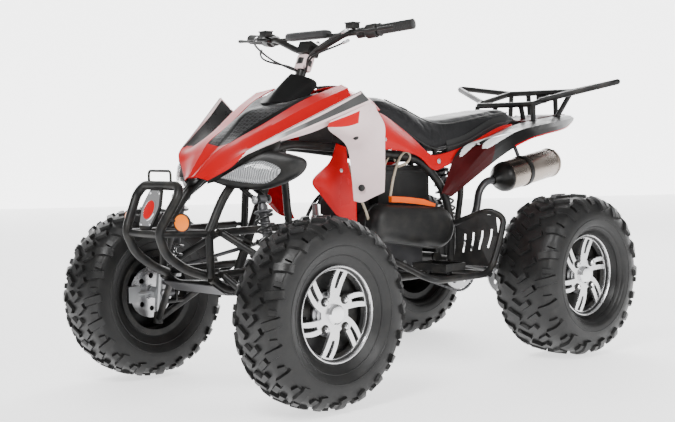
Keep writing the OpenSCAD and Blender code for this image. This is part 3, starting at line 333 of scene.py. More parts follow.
class Shape:
    """A mesh that is put together from tubes, turned pieces, blocks and sheets."""

    def __init__(self):
        self.verts = []
        self.faces = []
        self.mats = []

    def add(self, verts, faces, mat=0):
        first = len(self.verts)
        self.verts += [Vector(v) for v in verts]
        self.faces += [tuple(first + i for i in f) for f in faces]
        self.mats += [mat] * len(faces)

    def rings(self, rings, mat=0, closed=False, caps=True):
        """Skin over rings of points."""
        m, k = len(rings[0]), len(rings)
        faces = []
        for i in range(k if closed else k - 1):
            for j in range(m):
                a, b = i * m, (i + 1) % k * m
                faces.append((a + j, a + (j + 1) % m, b + (j + 1) % m, b + j))
        if caps and not closed:
            faces += [tuple(reversed(range(m))), tuple((k - 1) * m + j for j in range(m))]
        self.add([p for ring in rings for p in ring], faces, mat)

    def tube(self, points, r, bend=0.06, sides=16, mat=0, smooth=False):
        """Round tube along a path; r may be a list with one radius for each point."""
        path = curve_through(points, 8) if smooth else rounded(points, bend)
        radii = r if isinstance(r, list) else [r] * len(path)
        last = len(path) - 1
        side = None
        rings = []
        for i, p in enumerate(path):
            way = unit(path[min(i + 1, last)] - path[max(i - 1, 0)])
            if side is None:
                side = unit(way.cross(Vector((0, 0, 1)) if abs(way.z) < 0.9 else Vector((1, 0, 0))))
            side = unit(side - way * side.dot(way))
            up = way.cross(side)
            rings.append([p + (side * math.cos(a) + up * math.sin(a)) * radii[i] for a in turns(sides)])
        self.rings(rings, mat)

    def turned(self, profile, place, axis, steps=48, mat=0, caps=True):
        """Turned piece: (radius, distance along the axis) pairs."""
        axis = unit(Vector(axis))
        side = unit(axis.cross(Vector((0, 0, 1)) if abs(axis.z) < 0.9 else Vector((1, 0, 0))))
        up = axis.cross(side)
        rings = [[Vector(place) + axis * h + (side * math.cos(a) + up * math.sin(a)) * r
                  for a in turns(steps)] for r, h in profile]
        self.rings(rings, mat, caps=caps)

    def block(self, low, high, mat=0):
        """Box between two corners."""
        corners = [Vector((x, y, z)) for x in (low[0], high[0]) for y in (low[1], high[1])
                   for z in (low[2], high[2])]
        self.add(corners, [(0, 1, 3, 2), (4, 6, 7, 5), (0, 4, 5, 1), (2, 3, 7, 6), (0, 2, 6, 4),
                           (1, 5, 7, 3)], mat)

    def prism(self, outline, y0, y1, mat=0):
        """Outline in the XZ plane, run from y0 to y1."""
        self.rings([[Vector((x, y, z)) for x, z in outline] for y in (y0, y1)], mat)

    def sheet(self, net, thick, steps=(6, 3), pick=None, mat=0, smooth_v=False, back_mat=None):
        """Panel through rows of points; its thickness lies behind the net."""
        rows = [[Vector(p) for p in row] for row in net]
        nu, nv = steps
        columns = [curve_through([row[j] for row in rows], nu) for j in range(len(rows[0]))]
        grid = []
        for i in range(len(columns[0])):
            line = [c[i] for c in columns]
            if smooth_v:
                grid.append(curve_through(line, nv))
            else:
                grid.append([mix(line[j], line[j + 1], k / nv) for j in range(len(line) - 1)
                             for k in range(nv)] + [line[-1]])
        r, c = len(grid), len(grid[0])
        back = []
        for i in range(r):
            for j in range(c):
                du = grid[min(i + 1, r - 1)][j] - grid[max(i - 1, 0)][j]
                dv = grid[i][min(j + 1, c - 1)] - grid[i][max(j - 1, 0)]
                back.append(grid[i][j] - unit(du.cross(dv)) * thick)
        first = len(self.verts)
        self.verts += [p for row in grid for p in row] + back
        n = r * c

        def put(face, i, j):
            self.faces.append(tuple(first + q for q in face))
            self.mats.append(pick((i + 0.5) / (r - 1), (j + 0.5) / (c - 1)) if pick else mat)
        for i in range(r - 1):
            for j in range(c - 1):
                a, b, d, e = i * c + j, i * c + j + 1, (i + 1) * c + j + 1, (i + 1) * c + j
                put((a, e, d, b), i, j)
                put((n + a, n + b, n + d, n + e), i, j)
                if back_mat is not None:
                    self.mats[-1] = back_mat
        for i in range(r - 1):
            a, b = i * c, (i + 1) * c
            put((a, n + a, n + b, b), i, 0)
            put((a + c - 1, b + c - 1, n + b + c - 1, n + a + c - 1), i, c - 2)
        for j in range(c - 1):
            a, b = j, (r - 1) * c + j
            put((a, a + 1, n + a + 1, n + a), 0, j)
            put((b, n + b, n + b + 1, b + 1), r - 2, j)

    def mirrored(self):
        """Adds the mirror image on the other side."""
        first = len(self.verts)
        self.verts += [flip(v) for v in self.verts]
        self.faces += [tuple(first + i for i in reversed(f)) for f in self.faces]
        self.mats += self.mats
        return self

    def make(self, name, body, materials, bevel=0.0, sharp=35, replaces=()):
        """The finished object, which rides on a body."""
        mesh = bpy.data.meshes.new(name)
        mesh.from_pydata(self.verts, [], self.faces)
        for material in materials:
            mesh.materials.append(M[material])
        mesh.polygons.foreach_set("material_index", self.mats)
        mesh.validate()
        piece = new_object(name, mesh)
        if bevel:
            edge = piece.modifiers.new("edges", "BEVEL")
            edge.width = bevel
            edge.segments = 2
            edge.limit_method = "ANGLE"
            edge.angle_limit = math.radians(40)
            bake(piece)
        return settle(piece, body, sharp, replaces)


def bake(piece):
    """Applies the piece's modifiers."""
    view = bpy.context.evaluated_depsgraph_get()
    mesh = bpy.data.meshes.new_from_object(piece.evaluated_get(view))
    piece.modifiers.clear()
    piece.data = mesh


def settle(piece, body, sharp=35, replaces=()):
    """Shades the piece, puts it on its body and hides the CAD parts it stands for."""
    piece.data.polygons.foreach_set("use_smooth", [True] * len(piece.data.polygons))
    piece.data.set_sharp_from_angle(angle=math.radians(sharp))
    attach(piece, body)
    if replaces:
        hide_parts(*replaces)
    return piece


def bolt(shape, place, axis, r=0.006, h=0.005, mat=0):
    """Hexagon bolt head on a washer."""
    shape.turned([(0.0004, 0), (r * 1.5, 0), (r * 1.5, h * 0.25), (0.0004, h * 0.25)], place, axis, 20, mat)
    shape.turned([(r, h * 0.2), (r, h * 0.9), (r * 0.8, h)], place, axis, 6, mat)


# ---- Tyres ----

class Tread:
    """Tyre surface: distance across the tread and angle to a point and a normal."""

    def __init__(self, place, width, rim_width, drop):
        h = width / 2
        rim = rim_width / 2 - 0.0045
        crown = TYRE_R - 0.011
        half = [(0, crown), (0.34 * h, crown - 0.001), (0.64 * h, crown - 0.005),
                (0.84 * h, crown - 0.016), (0.94 * h, crown - drop), (0.985 * h, crown - drop - 0.022),
                (0.985 * h, crown - drop - 0.045), (0.93 * h, TYRE_R - drop - 0.072), (rim, 0.148),
                (rim - 0.002, 0.136), (rim - 0.004, 0.1295)]
        self.half = curve_through([Vector((a, b, 0)) for a, b in half], 5)
        self.place = place
        self.steps = [0.0]
        for a, b in zip(self.half, self.half[1:]):
            self.steps.append(self.steps[-1] + (b - a).length)

    def on(self, s, turn):
        """Point and normal at the distance s across from the middle and an angle."""
        side = 1 if s >= 0 else -1
        s = abs(s)
        i = max(k for k in range(len(self.steps) - 1) if self.steps[k] <= s)
        a, b = self.half[i], self.half[i + 1]
        p = mix(a, b, (s - self.steps[i]) / (self.steps[i + 1] - self.steps[i]))
        way = unit(b - a)
        out = Vector((math.cos(turn), 0, math.sin(turn)))
        normal = unit(out * way.x + Vector((0, -way.y * side, 0)))
        return self.place + out * p.y + Vector((0, p.x * side, 0)), normal

    def carcass(self, shape):
        outer = [(p.y, p.x) for p in self.half]
        inner = [(r - 0.009 if r > 0.16 else r, y - 0.009 if r < 0.262 else y) for r, y in outer]
        loop = outer + list(reversed(inner))
        loop += [(r, -y) for r, y in inner] + [(r, -y) for r, y in reversed(outer)]
        rings = []
        for a in turns(96):
            out = Vector((math.cos(a), 0, math.sin(a)))
            rings.append([self.place + out * r + Vector((0, y, 0)) for r, y in loop])
        shape.rings(rings, closed=True)

    def lug(self, shape, path, width, height):
        """One tread block along a path of (distance across, angle) pairs."""
        spots = [self.on(*q) for q in path]
        rings = []
        for i, (p, n) in enumerate(spots):
            way = unit(spots[min(i + 1, len(spots) - 1)][0] - spots[max(i - 1, 0)][0])
            side = unit(n.cross(way))
            low, top = p - n * 0.003, p + n * height
            if i in (0, len(spots) - 1):
                top -= way * (0.002 if i else -0.002)
            rings.append([low - side * width * 0.56, low + side * width * 0.56,
                          top + side * width * 0.42, top - side * width * 0.42])
        shape.rings(rings)

    def blocks(self, shape, pitches, height=0.0105):
        """Centre chevrons, side blocks and shoulder lugs that wrap onto the sidewall."""
        reach = self.steps[15]
        pitch = 2 * math.pi / pitches
        for k in range(pitches):
            a = k * pitch
            self.lug(shape, [(-0.34 * reach, a + 0.24 * pitch), (0, a), (0.34 * reach, a + 0.24 * pitch)],
                     0.021, height)
            for side in (-1, 1):
                b = a + (0.5 if side > 0 else 0.55) * pitch
                self.lug(shape, [(side * 0.16 * reach, b), (side * 0.6 * reach, b + 0.3 * pitch)], 0.02,
                         height)
                c = b + 0.42 * pitch
                wide = [(side * q * reach, c + (q - 0.66) * 0.35 * pitch)
                        for q in (0.66, 0.84, 1.0, 1.18, 1.3)]
                self.lug(shape, wide, 0.027, height * 0.92)
                d = c + 0.5 * pitch
                thin = [(side * q * reach, d) for q in (0.86, 1.0, 1.14)]
                self.lug(shape, thin, 0.018, height * 0.8)

    def sidewall(self, shape):
        """Raised rings on the sidewall."""
        total = self.steps[-1]
        for side in (-1, 1):
            for share in (0.66, 0.8):
                path = [self.on(side * share * total, 2 * math.pi * k / 72) for k in range(73)]
                rings = []
                for i, (p, n) in enumerate(path[:-1]):
                    way = unit(path[i + 1][0] - path[i - 1 if i else -2][0])
                    across = unit(n.cross(way))
                    rings.append([p - across * 0.002, p + across * 0.002, p + across * 0.001 + n * 0.0012,
                                  p - across * 0.001 + n * 0.0012])
                shape.rings(rings, closed=True)


def tyre(name, body, places, width, rim_width, drop, pitches, node):
    shape = Shape()
    for place in places:
        tread = Tread(place, width, rim_width, drop)
        tread.carcass(shape)
        tread.blocks(shape, pitches)
        tread.sidewall(shape)
    shape.make(name, body, ["tyre"], sharp=30, replaces=(node,))


for side, label in ((1, "left"), (-1, "right")):
    spot = Vector((FRONT.x, side * FRONT_Y, WHEEL_Z))
    tyre("tyre_front_" + label, "front_wheel_" + label, [spot], 0.185, 0.14, 0.024, 20, "front_tyre_" + label)
REAR_X = SHIFT - WHEELBASE / 2
REAR_SPOTS = [Vector((REAR_X, side * REAR_Y, WHEEL_Z)) for side in (1, -1)]
tyre("tyres_rear", "rear_axle", REAR_SPOTS, 0.25, 0.17, 0.04, 18, "rear_tyres")


# ---- Rims ----

def polar(r, turn):
    return (r * math.cos(turn), r * math.sin(turn))


def window(inner, outer, half_in, half_out, middle_turn, swirl):
    """Opening between spokes, as points of a closed outline."""
    steps = 5
    points = []
    for k in range(steps + 1):
        t = k / steps
        points.append((mix(inner, outer, t), -mix(half_in, half_out, t)))
    for k in range(1, steps):
        points.append((outer, -half_out + 2 * half_out * k / steps))
    for k in range(steps + 1):
        t = 1 - k / steps
        points.append((mix(inner, outer, t), mix(half_in, half_out, t)))
    return [polar(r, middle_turn + a + swirl * (r - 0.05)) for r, a in points]


def face_plate(name, body, spot, side, offset):
    """Machined wheel face with split spokes, cut as a flat outline with rounded edges."""
    data = bpy.data.curves.new(name, "CURVE")
    data.dimensions = "2D"
    data.fill_mode = "BOTH"
    data.extrude = 0.004
    data.bevel_depth = 0.0012
    data.bevel_resolution = 2
    outlines = [[polar(0.1315, a) for a in turns(72)]]
    swirl = 3.6 * side
    for a in turns(6):
        outlines.append(window(0.052, 0.128, 0.2, 0.365, a, swirl))
        outlines.append(window(0.074, 0.125, 0.08, 0.07, a + math.pi / 6, swirl))
    for outline in outlines:
        line = data.splines.new("POLY")
        line.points.add(len(outline) - 1)
        for point, (x, y) in zip(line.points, outline):
            point.co = (x, y, 0, 1)
        line.use_cyclic_u = True
    scratch = new_object(name + "_outline", data)
    view = bpy.context.evaluated_depsgraph_get()
    mesh = bpy.data.meshes.new_from_object(scratch.evaluated_get(view))
    bpy.data.objects.remove(scratch)
    place = spot + Vector((0, side * offset, 0))
    mesh.transform(Matrix.Translation(place) @ Matrix.Rotation(math.pi / 2, 4, "X"))
    mesh.materials.clear()
    mesh.materials.append(M["rim"])
    mesh.name = name
    return settle(new_object(name, mesh), body, 40)


def wheel(label, body, spot, side, rim_width, node):
    """Barrel, polished lip, dark pockets, spoked face, nuts and centre cap."""
    h = rim_width / 2
    axis = (0, side, 0)
    shape = Shape()
    lip = [(0.1365, h - 0.03), (0.1365, h - 0.008), (0.1393, h - 0.0035), (0.1393, h - 0.0005),
           (0.137, h), (0.1345, h - 0.002), (0.133, h - 0.008), (0.133, h - 0.03)]
    shape.turned(lip + [lip[0]], spot, axis, 96, 0, caps=False)
    barrel = [(0.1325, h - 0.018), (0.1275, -h + 0.008), (0.1392, -h + 0.004), (0.1392, -h + 0.0005),
              (0.1215, -h + 0.0005), (0.1195, -h + 0.01), (0.1195, h - 0.03)]
    shape.turned(barrel + [barrel[0]], spot, axis, 96, 1, caps=False)
    shape.turned([(0.02, h - 0.05), (0.129, h - 0.05), (0.129, h - 0.044), (0.02, h - 0.044)],
                 spot, axis, 72, 1)
    shape.turned([(0.06, h - 0.046), (0.056, h - 0.026), (0.04, h - 0.022)], spot, axis, 64, 0, caps=False)
    shape.turned([(0.03, h - 0.03), (0.029, h - 0.006), (0.024, h - 0.001), (0.014, h), (0.0005, h)],
                 spot, axis, 48, 2)
    for turn in turns(4):
        x, z = polar(0.055, turn + math.pi / 4)
        place = Vector(spot) + Vector((x, 0, z))
        shape.turned([(0.0135, h - 0.028), (0.0135, h - 0.0125), (0.009, h - 0.0122)], place, axis, 24, 1)
        shape.turned([(0.0085, h - 0.018), (0.0085, h - 0.004), (0.006, h - 0.002)], place, axis, 6, 2)
        shape.turned([(0.0045, h - 0.006), (0.0045, h - 0.001), (0.003, h)], place, axis, 12, 2)
    shape.turned([(0.003, h - 0.044), (0.003, h - 0.016)], Vector(spot) + Vector((0.105, 0, 0)), axis, 8, 1)
    shape.make("rim_" + label, body, ["rim", "frame", "chrome"], replaces=node)
    face_plate("rim_face_" + label, body, Vector(spot), side, h - 0.019)


for side, label in ((1, "left"), (-1, "right")):
    spot = Vector((FRONT.x, side * FRONT_Y, WHEEL_Z))
    wheel("front_" + label, "front_wheel_" + label, spot, side, 0.14, ("front_rim_" + label,))
    wheel("rear_" + label, "rear_axle", Vector((REAR_X, side * REAR_Y, WHEEL_Z)), side, 0.17,
          ("rear_rims",) if side > 0 else ())


# ---- Frame tubes ----

UPPER_RAIL = [at(0.748, 0.11, 0.505), at(0.668, 0.092, 0.622), at(0.56, 0.084, 0.7),
              at(0.43, 0.084, 0.762), at(0.2, 0.092, 0.742), at(-0.018, 0.112, 0.716),
              at(-0.165, 0.118, 0.694), at(-0.268, 0.13, 0.588), at(-0.285, 0.15, 0.461),
              at(-0.3, 0.128, 0.334)]
LOWER_RAIL = [at(0.75, 0.118, 0.372), at(0.7, 0.119, 0.335), at(0.43, 0.128, 0.305), at(0.1, 0.128, 0.302),
              at(-0.262, 0.128, 0.302), at(-0.3, 0.128, 0.334)]
SEAT_RAIL = [at(-0.165, 0.1, 0.69), at(-0.3, 0.098, 0.702), at(-0.48, 0.084, 0.748), at(-0.64, 0.072, 0.79),
             at(-1.0, 0.062, 0.806)]
REAR_STRUT = [at(-0.372, 0.097, 0.716), at(-0.352, 0.14, 0.6), at(-0.322, 0.136, 0.44),
              at(-0.3, 0.128, 0.334)]
BUMPER = [at(0.835, 0.084, 0.649), at(0.849, 0.104, 0.622), at(0.901, 0.084, 0.53), at(0.905, 0.08, 0.508),
          at(0.881, 0.076, 0.45), at(0.815, 0.078, 0.402), at(0.75, 0.1, 0.378)]
SIDE_BAR = [at(0.096, 0.128, 0.352), at(0.09, 0.2, 0.384), at(0.03, 0.348, 0.31), at(-0.245, 0.348, 0.308),
            at(-0.3, 0.345, 0.4), at(-0.342, 0.336, 0.49), at(-0.316, 0.29, 0.516), at(-0.284, 0.166, 0.47)]


def full(path):
    """The path and its mirror image as one line."""
    return [flip(p) for p in reversed(path)] + path


def main_frame():
    """Rails, posts, shock towers and the small brackets under the bodywork."""
    shape = Shape()
    for path, r in ((UPPER_RAIL, 0.0139), (LOWER_RAIL, 0.0139), (SEAT_RAIL, 0.0109), (REAR_STRUT, 0.0109)):
        shape.tube(path, r, 0.07, 18)
    shape.tube([at(0.43, 0.128, 0.302), at(0.43, 0.084, 0.762)], 0.012)
    shape.tube([at(0.75, 0.118, 0.372), at(0.748, 0.112, 0.509)], 0.012)
    for z in (0.38, 0.505):
        shape.tube([at(0.43, 0.118, z), at(0.75, 0.118, z)], 0.007)
    for x in (-0.022, 0.022):
        shape.tube([at(0.614 + x, 0.076, 0.662), at(0.614 + x, 0.196, 0.6)], 0.007)
    shape.tube([at(0.585, 0.196, 0.6), at(0.643, 0.196, 0.6)], 0.0056)
    shape.tube([at(0.5, 0.082, 0.726), at(0.5, 0.068, 0.82)], 0.007)
    shape.tube([at(-0.06, 0.116, 0.712), at(-0.06, 0.148, 0.738)], 0.006)
    shape.tube([at(0.232, 0.091, 0.744), at(0.232, 0.155, 0.728)], 0.004)
    shape.tube([at(-0.26, 0.098, 0.698), at(-0.26, 0.098, 0.724)], 0.009)
    shape.tube([at(-0.56, 0.078, 0.768), at(-0.56, 0.078, 0.798)], 0.009)
    shape.mirrored()
    shape.tube([at(-0.384, -0.1, 0.722), at(-0.384, 0.1, 0.722)], 0.009)
    shape.tube([at(-0.64, -0.074, 0.79), at(-0.64, 0.074, 0.79)], 0.009)
    shape.make("frame_tubes", "chassis", ["frame"],
               replaces=("upper_rails", "lower_rails", "seat_frame", "front_frame"))


def bumper():
    """Hoop, small hook, round reflectors and a blank badge plate."""
    shape = Shape()
    shape.tube(full(BUMPER), 0.0139, 0.04, 18)
    shape.tube([at(0.899, -0.08, 0.51), at(0.899, 0.08, 0.51)], 0.0109)
    shape.tube([at(0.833, -0.062, 0.655), at(0.833, -0.062, 0.692), at(0.833, 0.046, 0.692),
                at(0.833, 0.046, 0.655)], 0.004, 0.012, 10)
    for side in (1, -1):
        shape.tube([at(0.901, 0.084 * side, 0.512), at(0.748, 0.108 * side, 0.505)], 0.0109)
        shape.tube([at(0.883, 0.09 * side, 0.556), at(0.863, 0.132 * side, 0.546)], 0.005)
        axis = (1, 0.4 * side, 0)
        place = at(0.86, 0.134 * side, 0.545)
        shape.turned([(0.0005, 0), (0.027, 0), (0.028, 0.004), (0.028, 0.007), (0.0255, 0.0085),
                      (0.0245, 0.0065)], place, axis, 40, 0)
        shape.turned([(0.0245, 0.0063), (0.02, 0.0082), (0.01, 0.0092), (0.0005, 0.0095)], place, axis, 40, 1)
    low, high = at(0.896, 0, 0.52), at(0.846, 0, 0.64)
    slope = unit(high - low)
    front = unit(Vector((slope.z, 0, -slope.x)))
    centre = mix(low, high, 0.5)

    def on_plate(y, up, out=0.0):
        return centre + slope * up + Vector((0, y, 0)) + front * out
    plate = [(-0.028, 0.066), (0.028, 0.066), (0.048, 0.004), (0.03, -0.062), (-0.03, -0.062),
             (-0.048, 0.004)]
    corners = []
    for i, (y, up) in enumerate(plate):
        a, b = Vector((*plate[i - 1], 0)), Vector((*plate[(i + 1) % len(plate)], 0))
        p = Vector((y, up, 0))
        corners += [mix(p, a, 0.16), mix(mix(p, a, 0.05), b, 0.05), mix(p, b, 0.16)]
    shape.rings([[on_plate(c.x, c.y, out) for c in corners] for out in (0.0, 0.005)], 0)
    shape.rings([[on_plate(c.x * 0.86, c.y * 0.86, out) for c in corners] for out in (0.0045, 0.0075)], 2)
    oval = [(0.024 * math.cos(a), 0.03 * math.sin(a)) for a in turns(40)]
    shape.rings([[on_plate(y * s, up * s - 0.004, out) for y, up in oval]
                 for s, out in ((1.1, 0.007), (1.1, 0.0092), (1.02, 0.0098))], 2)
    shape.rings([[on_plate(y * s, up * s - 0.004, out) for y, up in oval]
                 for s, out in ((0.98, 0.0085), (0.96, 0.0108), (0.8, 0.0118))], 3)
    for y, up in ((-0.022, 0.05), (0.022, 0.05), (-0.022, -0.048), (0.022, -0.048)):
        bolt(shape, on_plate(y, up, 0.0075), front, 0.004, 0.003, 2)
    shape.make("front_bumper_tubes", "chassis", ["frame", "amber", "chrome", "red"],
               replaces=("front_bumper",))


def side_bars():
    """Foot rest hoops with their stays."""
    shape = Shape()
    shape.tube(SIDE_BAR, 0.0109, 0.045, 18)
    shape.tube([at(0.1, 0.128, 0.302), at(0.096, 0.128, 0.356)], 0.0109)
    shape.tube([at(-0.262, 0.128, 0.302), at(-0.248, 0.348, 0.308)], 0.0109)
    shape.tube([at(-0.11, 0.128, 0.302), at(-0.11, 0.348, 0.31)], 0.0109)
    shape.mirrored()
    shape.make("side_bars", "chassis", ["frame"], replaces=("side_bars",))


def rack():
    """Carrier with side horns, feet and a rear reflector."""
    shape = Shape()
    front, bend, rear = at(-0.766, 0.134, 0.876), at(-0.8, 0.14, 0.886), at(-0.984, 0.15, 0.922)
    horn = [rear, at(-0.958, 0.405, 0.955), at(-0.8, 0.138, 0.888)]
    struts = ((at(-0.782, 0.062, 0.876), at(-0.799, 0.066, 0.797)),
              (at(-0.99, 0.065, 0.92), at(-0.998, 0.062, 0.806)),
              (at(-0.766, 0.134, 0.874), at(-0.761, 0.137, 0.812)),
              (at(-0.984, 0.144, 0.918), at(-0.937, 0.113, 0.828)))
    shape.tube(full([front, bend, rear]), 0.0104, 0.04, 16)
    shape.tube([flip(rear), rear], 0.0104)
    for side in (1, -1):
        shape.tube([sided(p, side) for p in horn], 0.0104, 0.06, 16)
        for top, foot in struts:
            shape.tube([sided(top, side), sided(foot, side)], 0.0094)
            shape.turned([(0.0005, 0), (0.015, 0), (0.015, 0.003), (0.0005, 0.003)], sided(foot, side),
                         (0, 0, 1), 24)
    eye = at(-0.984, 0, 0.904)
    shape.turned([(0.0005, 0), (0.022, 0), (0.022, 0.024), (0.02, 0.026), (0.0185, 0.0245)], eye,
                 (-1, 0, 0), 40, 0)
    shape.turned([(0.0186, 0.0243), (0.015, 0.0256), (0.0005, 0.0259)], eye, (-1, 0, 0), 40, 1)
    shape.make("rack_tubes", "chassis", ["frame", "red_lens"], replaces=("rear_rack",))


main_frame()
bumper()
side_bars()
rack()


# ---- Bodywork ----

CREASE = [at(0.724, 0.014, 0.668), at(0.66, 0.03, 0.735), at(0.6, 0.06, 0.776), at(0.5, 0.085, 0.826),
          at(0.37, 0.125, 0.896), at(0.24, 0.16, 0.943)]
FLANK_TOP = [at(0.712, 0.04, 0.664), at(0.676, 0.112, 0.706), at(0.646, 0.159, 0.741), at(0.56, 0.208, 0.79),
             at(0.441, FW - 0.063, 0.855), at(0.331, FW, 0.917)]
FLANK_LOW = [at(0.704, 0.056, 0.658), at(0.668, 0.118, 0.694), at(0.64, 0.162, 0.732),
             at(0.546, 0.211, 0.774), at(0.411, FW - 0.062, 0.829), at(0.288, FW + 0.001, 0.88)]
VALLEY = Vector((0, 0, -0.062))    # depth of the groove behind the flank's upper edge


def front_fenders():
    """Gloss beam with its pale-to-black striped flank and a rolled edge in pale pink, a painted reflection
    that the back faces share.
    """
    shape = Shape()
    net = []
    for low, top, crest in zip(FLANK_LOW, FLANK_TOP, CREASE):
        drop = VALLEY * min(max((0.66 + SHIFT - top.x) / 0.2, 0), 1)
        net.append([low, mix(low, top, 0.22), mix(low, top, 0.93), top, mix(top, crest, 0.26) + drop,
                    mix(top, crest, 0.66) + Vector((0, 0, 0.003)) + drop * 0.12, crest])

    def paint(u, v):
        if v > 4 / 6 or u < 0.32 + 0.3 * v:
            return 0
        return 2 if v < 1 / 6 else 1 if v < 2 / 6 else 3
    # The lowest flank strip (2) and the back faces (back_mat) take the pale pink of painted reflection.
    shape.sheet(net, 0.004, (16, 3), paint, back_mat=2)
    lip = [Vector(), Vector((-0.004, -0.008, -0.012)), Vector((-0.01, -0.022, -0.024))]
    under = [[low + step * deep for step in lip] for low, deep in zip(FLANK_LOW, (0.35, 1, 1, 1))]
    shape.sheet(under, 0.003, (8, 2), mat=4)
    shape.mirrored()
    shape.make("front_fender_skins", "chassis", ["red", "stripe", "pale", "gloss_black", "plastic"],
               sharp=24, replaces=("front_fenders",))


# Rows from the fender's edge down: distance forward, inset from the fender's width, height
GUARD = [[at(x, FW - inset, z) for x, inset, z in row] for row in (
    ((0.407, 0.06, 0.8264), (0.35, 0.024, 0.8544), (0.288, -0.001, 0.8784), (0.26, 0, 0.852)),
    ((0.4, 0.072, 0.8), (0.352, 0.036, 0.795), (0.28, 0.006, 0.815), (0.232, 0, 0.812)),
    ((0.322, 0.078, 0.75), (0.3, 0.06, 0.752), (0.268, 0.03, 0.756), (0.232, 0, 0.76)),
    ((0.3, 0.082, 0.662), (0.282, 0.062, 0.664), (0.258, 0.03, 0.665), (0.235, 0, 0.665)),
    ((0.298, 0.076, 0.58), (0.282, 0.056, 0.575), (0.262, 0.028, 0.59), (0.24, 0, 0.606)))]


def leg_guards():
    """Plate in pale pink, a painted reflection, behind the front wheel, with a red recess and two screws."""
    shape = Shape()
    # Pale pink (0) is painted reflection; the recess (1) stays red.
    shape.sheet(GUARD, 0.004, (7, 5), lambda u, v: 1 if 0.03 < u < 0.18 and v < 0.5 else 0, smooth_v=True)
    out = Vector((0.55, 0.83, 0.1))
    for place, r in ((at(0.315, FW - 0.044, 0.777), 0.006), (at(0.286, FW - 0.052, 0.62), 0.007)):
        shape.turned([(0.0005, -0.004), (r * 1.5, -0.002), (r * 1.5, 0.0008), (r * 1.1, 0.001), (r, 0.004),
                      (0.0005, 0.0045)], place, out, 32, 2)
    shape.mirrored()
    shape.make("leg_guard_skins", "chassis", ["pale", "red", "plastic"], bevel=0.0012,
               sharp=40, replaces=("leg_guards",))


def bonnet():
    """Red nose valley, then the meshed vent with its raised ridge and rims."""
    gap = 0.0036
    line = [(0.724, 0.0125, 0.67, 0.668), (0.66, 0.0288, 0.735, 0.722), (0.6, 0.06 - gap, 0.776, 0.77),
            (0.5, 0.085 - gap, 0.826, 0.862), (0.37, 0.125 - gap, 0.896, 0.884),
            (0.306, 0.138 - gap, 0.917, 0.896)]
    shape = Shape()
    net = []
    for x, y, z, mid in line:
        row = []
        for k in (1, 0.86, 0.16, 0, -0.16, -0.86, -1):
            t = 1 - abs(k)
            lift = 0.0035 if abs(k) in (0.86, 0.16) else 0
            row.append(at(x, y * k, mix(z, mid, t) + (lift if abs(k) < 1 and x < 0.6 else 0)))
        net.append(row)

    def paint(u, v):
        if u < 0.36:
            return 0
        return 1 if int(v * 6) in (1, 4) else 2
    shape.sheet(net, 0.004, (10, 2), paint)
    shape.make("bonnet_vent", "chassis", ["red", "grille", "cowl"], sharp=30,
               replaces=("bonnet",))


def cowl():
    """Shell round the steering column, from its foot line to its rim."""
    shape = Shape()
    low = [(0.322, 0.104, 0.913), (0.366, 0.084, 0.902), (0.388, 0.062, 0.893), (0.404, 0.032, 0.891),
           (0.412, 0, 0.89)]
    high = [(0.286, 0.096, 0.936), (0.27, 0.078, 0.953), (0.268, 0.054, 0.966), (0.288, 0.026, 0.977),
            (0.308, 0, 0.984)]
    low, high = ([at(*p) for p in line] + [flip(at(*p)) for p in reversed(line[:-1])] for line in (low, high))
    net = [[mix(a, b, t) + Vector((0.004, 0, 0.002)) * math.sin(math.pi * t) for a, b in zip(low, high)]
           for t in (0, 0.35, 0.7, 1)]
    shape.sheet(net, 0.004, (5, 3), smooth_v=True)
    shape.make("cowl_skin", "chassis", ["cowl"], bevel=0.0012, sharp=50, replaces=("cowl",))


def almond(shape, points, r, steps=10):
    """Lamp body: a closed almond over an outline, r thick to each side."""
    centre = sum((Vector(p) for p in points), Vector()) / len(points)
    smooth = curve_through([Vector(p) for p in points] + [Vector(points[0])], 6)[:-1]
    normal = Vector()
    for a, b in zip(smooth, smooth[1:] + smooth[:1]):
        normal += (a - centre).cross(b - centre)
    normal = unit(normal)
    rings = []
    for k in range(1, steps):
        t = math.pi * k / steps
        inset, out = math.sin(t), -math.cos(t) * r
        rings.append([centre + (p - centre) * (0.12 + 0.88 * inset ** 0.55) + normal * out for p in smooth])
    shape.rings(rings)


def headlights():
    """Dark housings with clear ribbed lenses."""
    shape = Shape()
    body = [at(0.7, 0.05, 0.656), at(0.65, 0.122, 0.712), at(0.59, 0.176, 0.744), at(0.52, 0.262, 0.722),
            at(0.508, 0.27, 0.69), at(0.54, 0.246, 0.655), at(0.606, 0.19, 0.628), at(0.66, 0.11, 0.634)]
    almond(shape, [p - Vector((0.014, 0.004, 0.0)) for p in body], 0.026)
    rim = [at(0.688, 0.098, 0.666), at(0.64, 0.15, 0.704), at(0.594, 0.184, 0.714), at(0.568, 0.232, 0.688),
           at(0.602, 0.212, 0.65), at(0.646, 0.158, 0.652)]
    almond(shape, [p + Vector((-0.004, -0.004, 0)) for p in rim], 0.013)
    shape.mirrored()
    shape.make("lamp_housings", "chassis", ["plastic"], sharp=50,
               replaces=("headlight_housings",))
    centre = sum(rim, Vector()) / len(rim)
    rim = [mix(centre, p, 1.12) for p in rim]
    lens = Shape()
    almond(lens, [mix(p, mix(rim[0], rim[3], 0.5), 0.1) + Vector((0.004, 0.006, 0)) for p in rim], 0.011)
    lens.mirrored()
    lens.make("lamp_lenses", "chassis", ["lens", "chrome"], sharp=50,
              replaces=("headlight_lenses",))


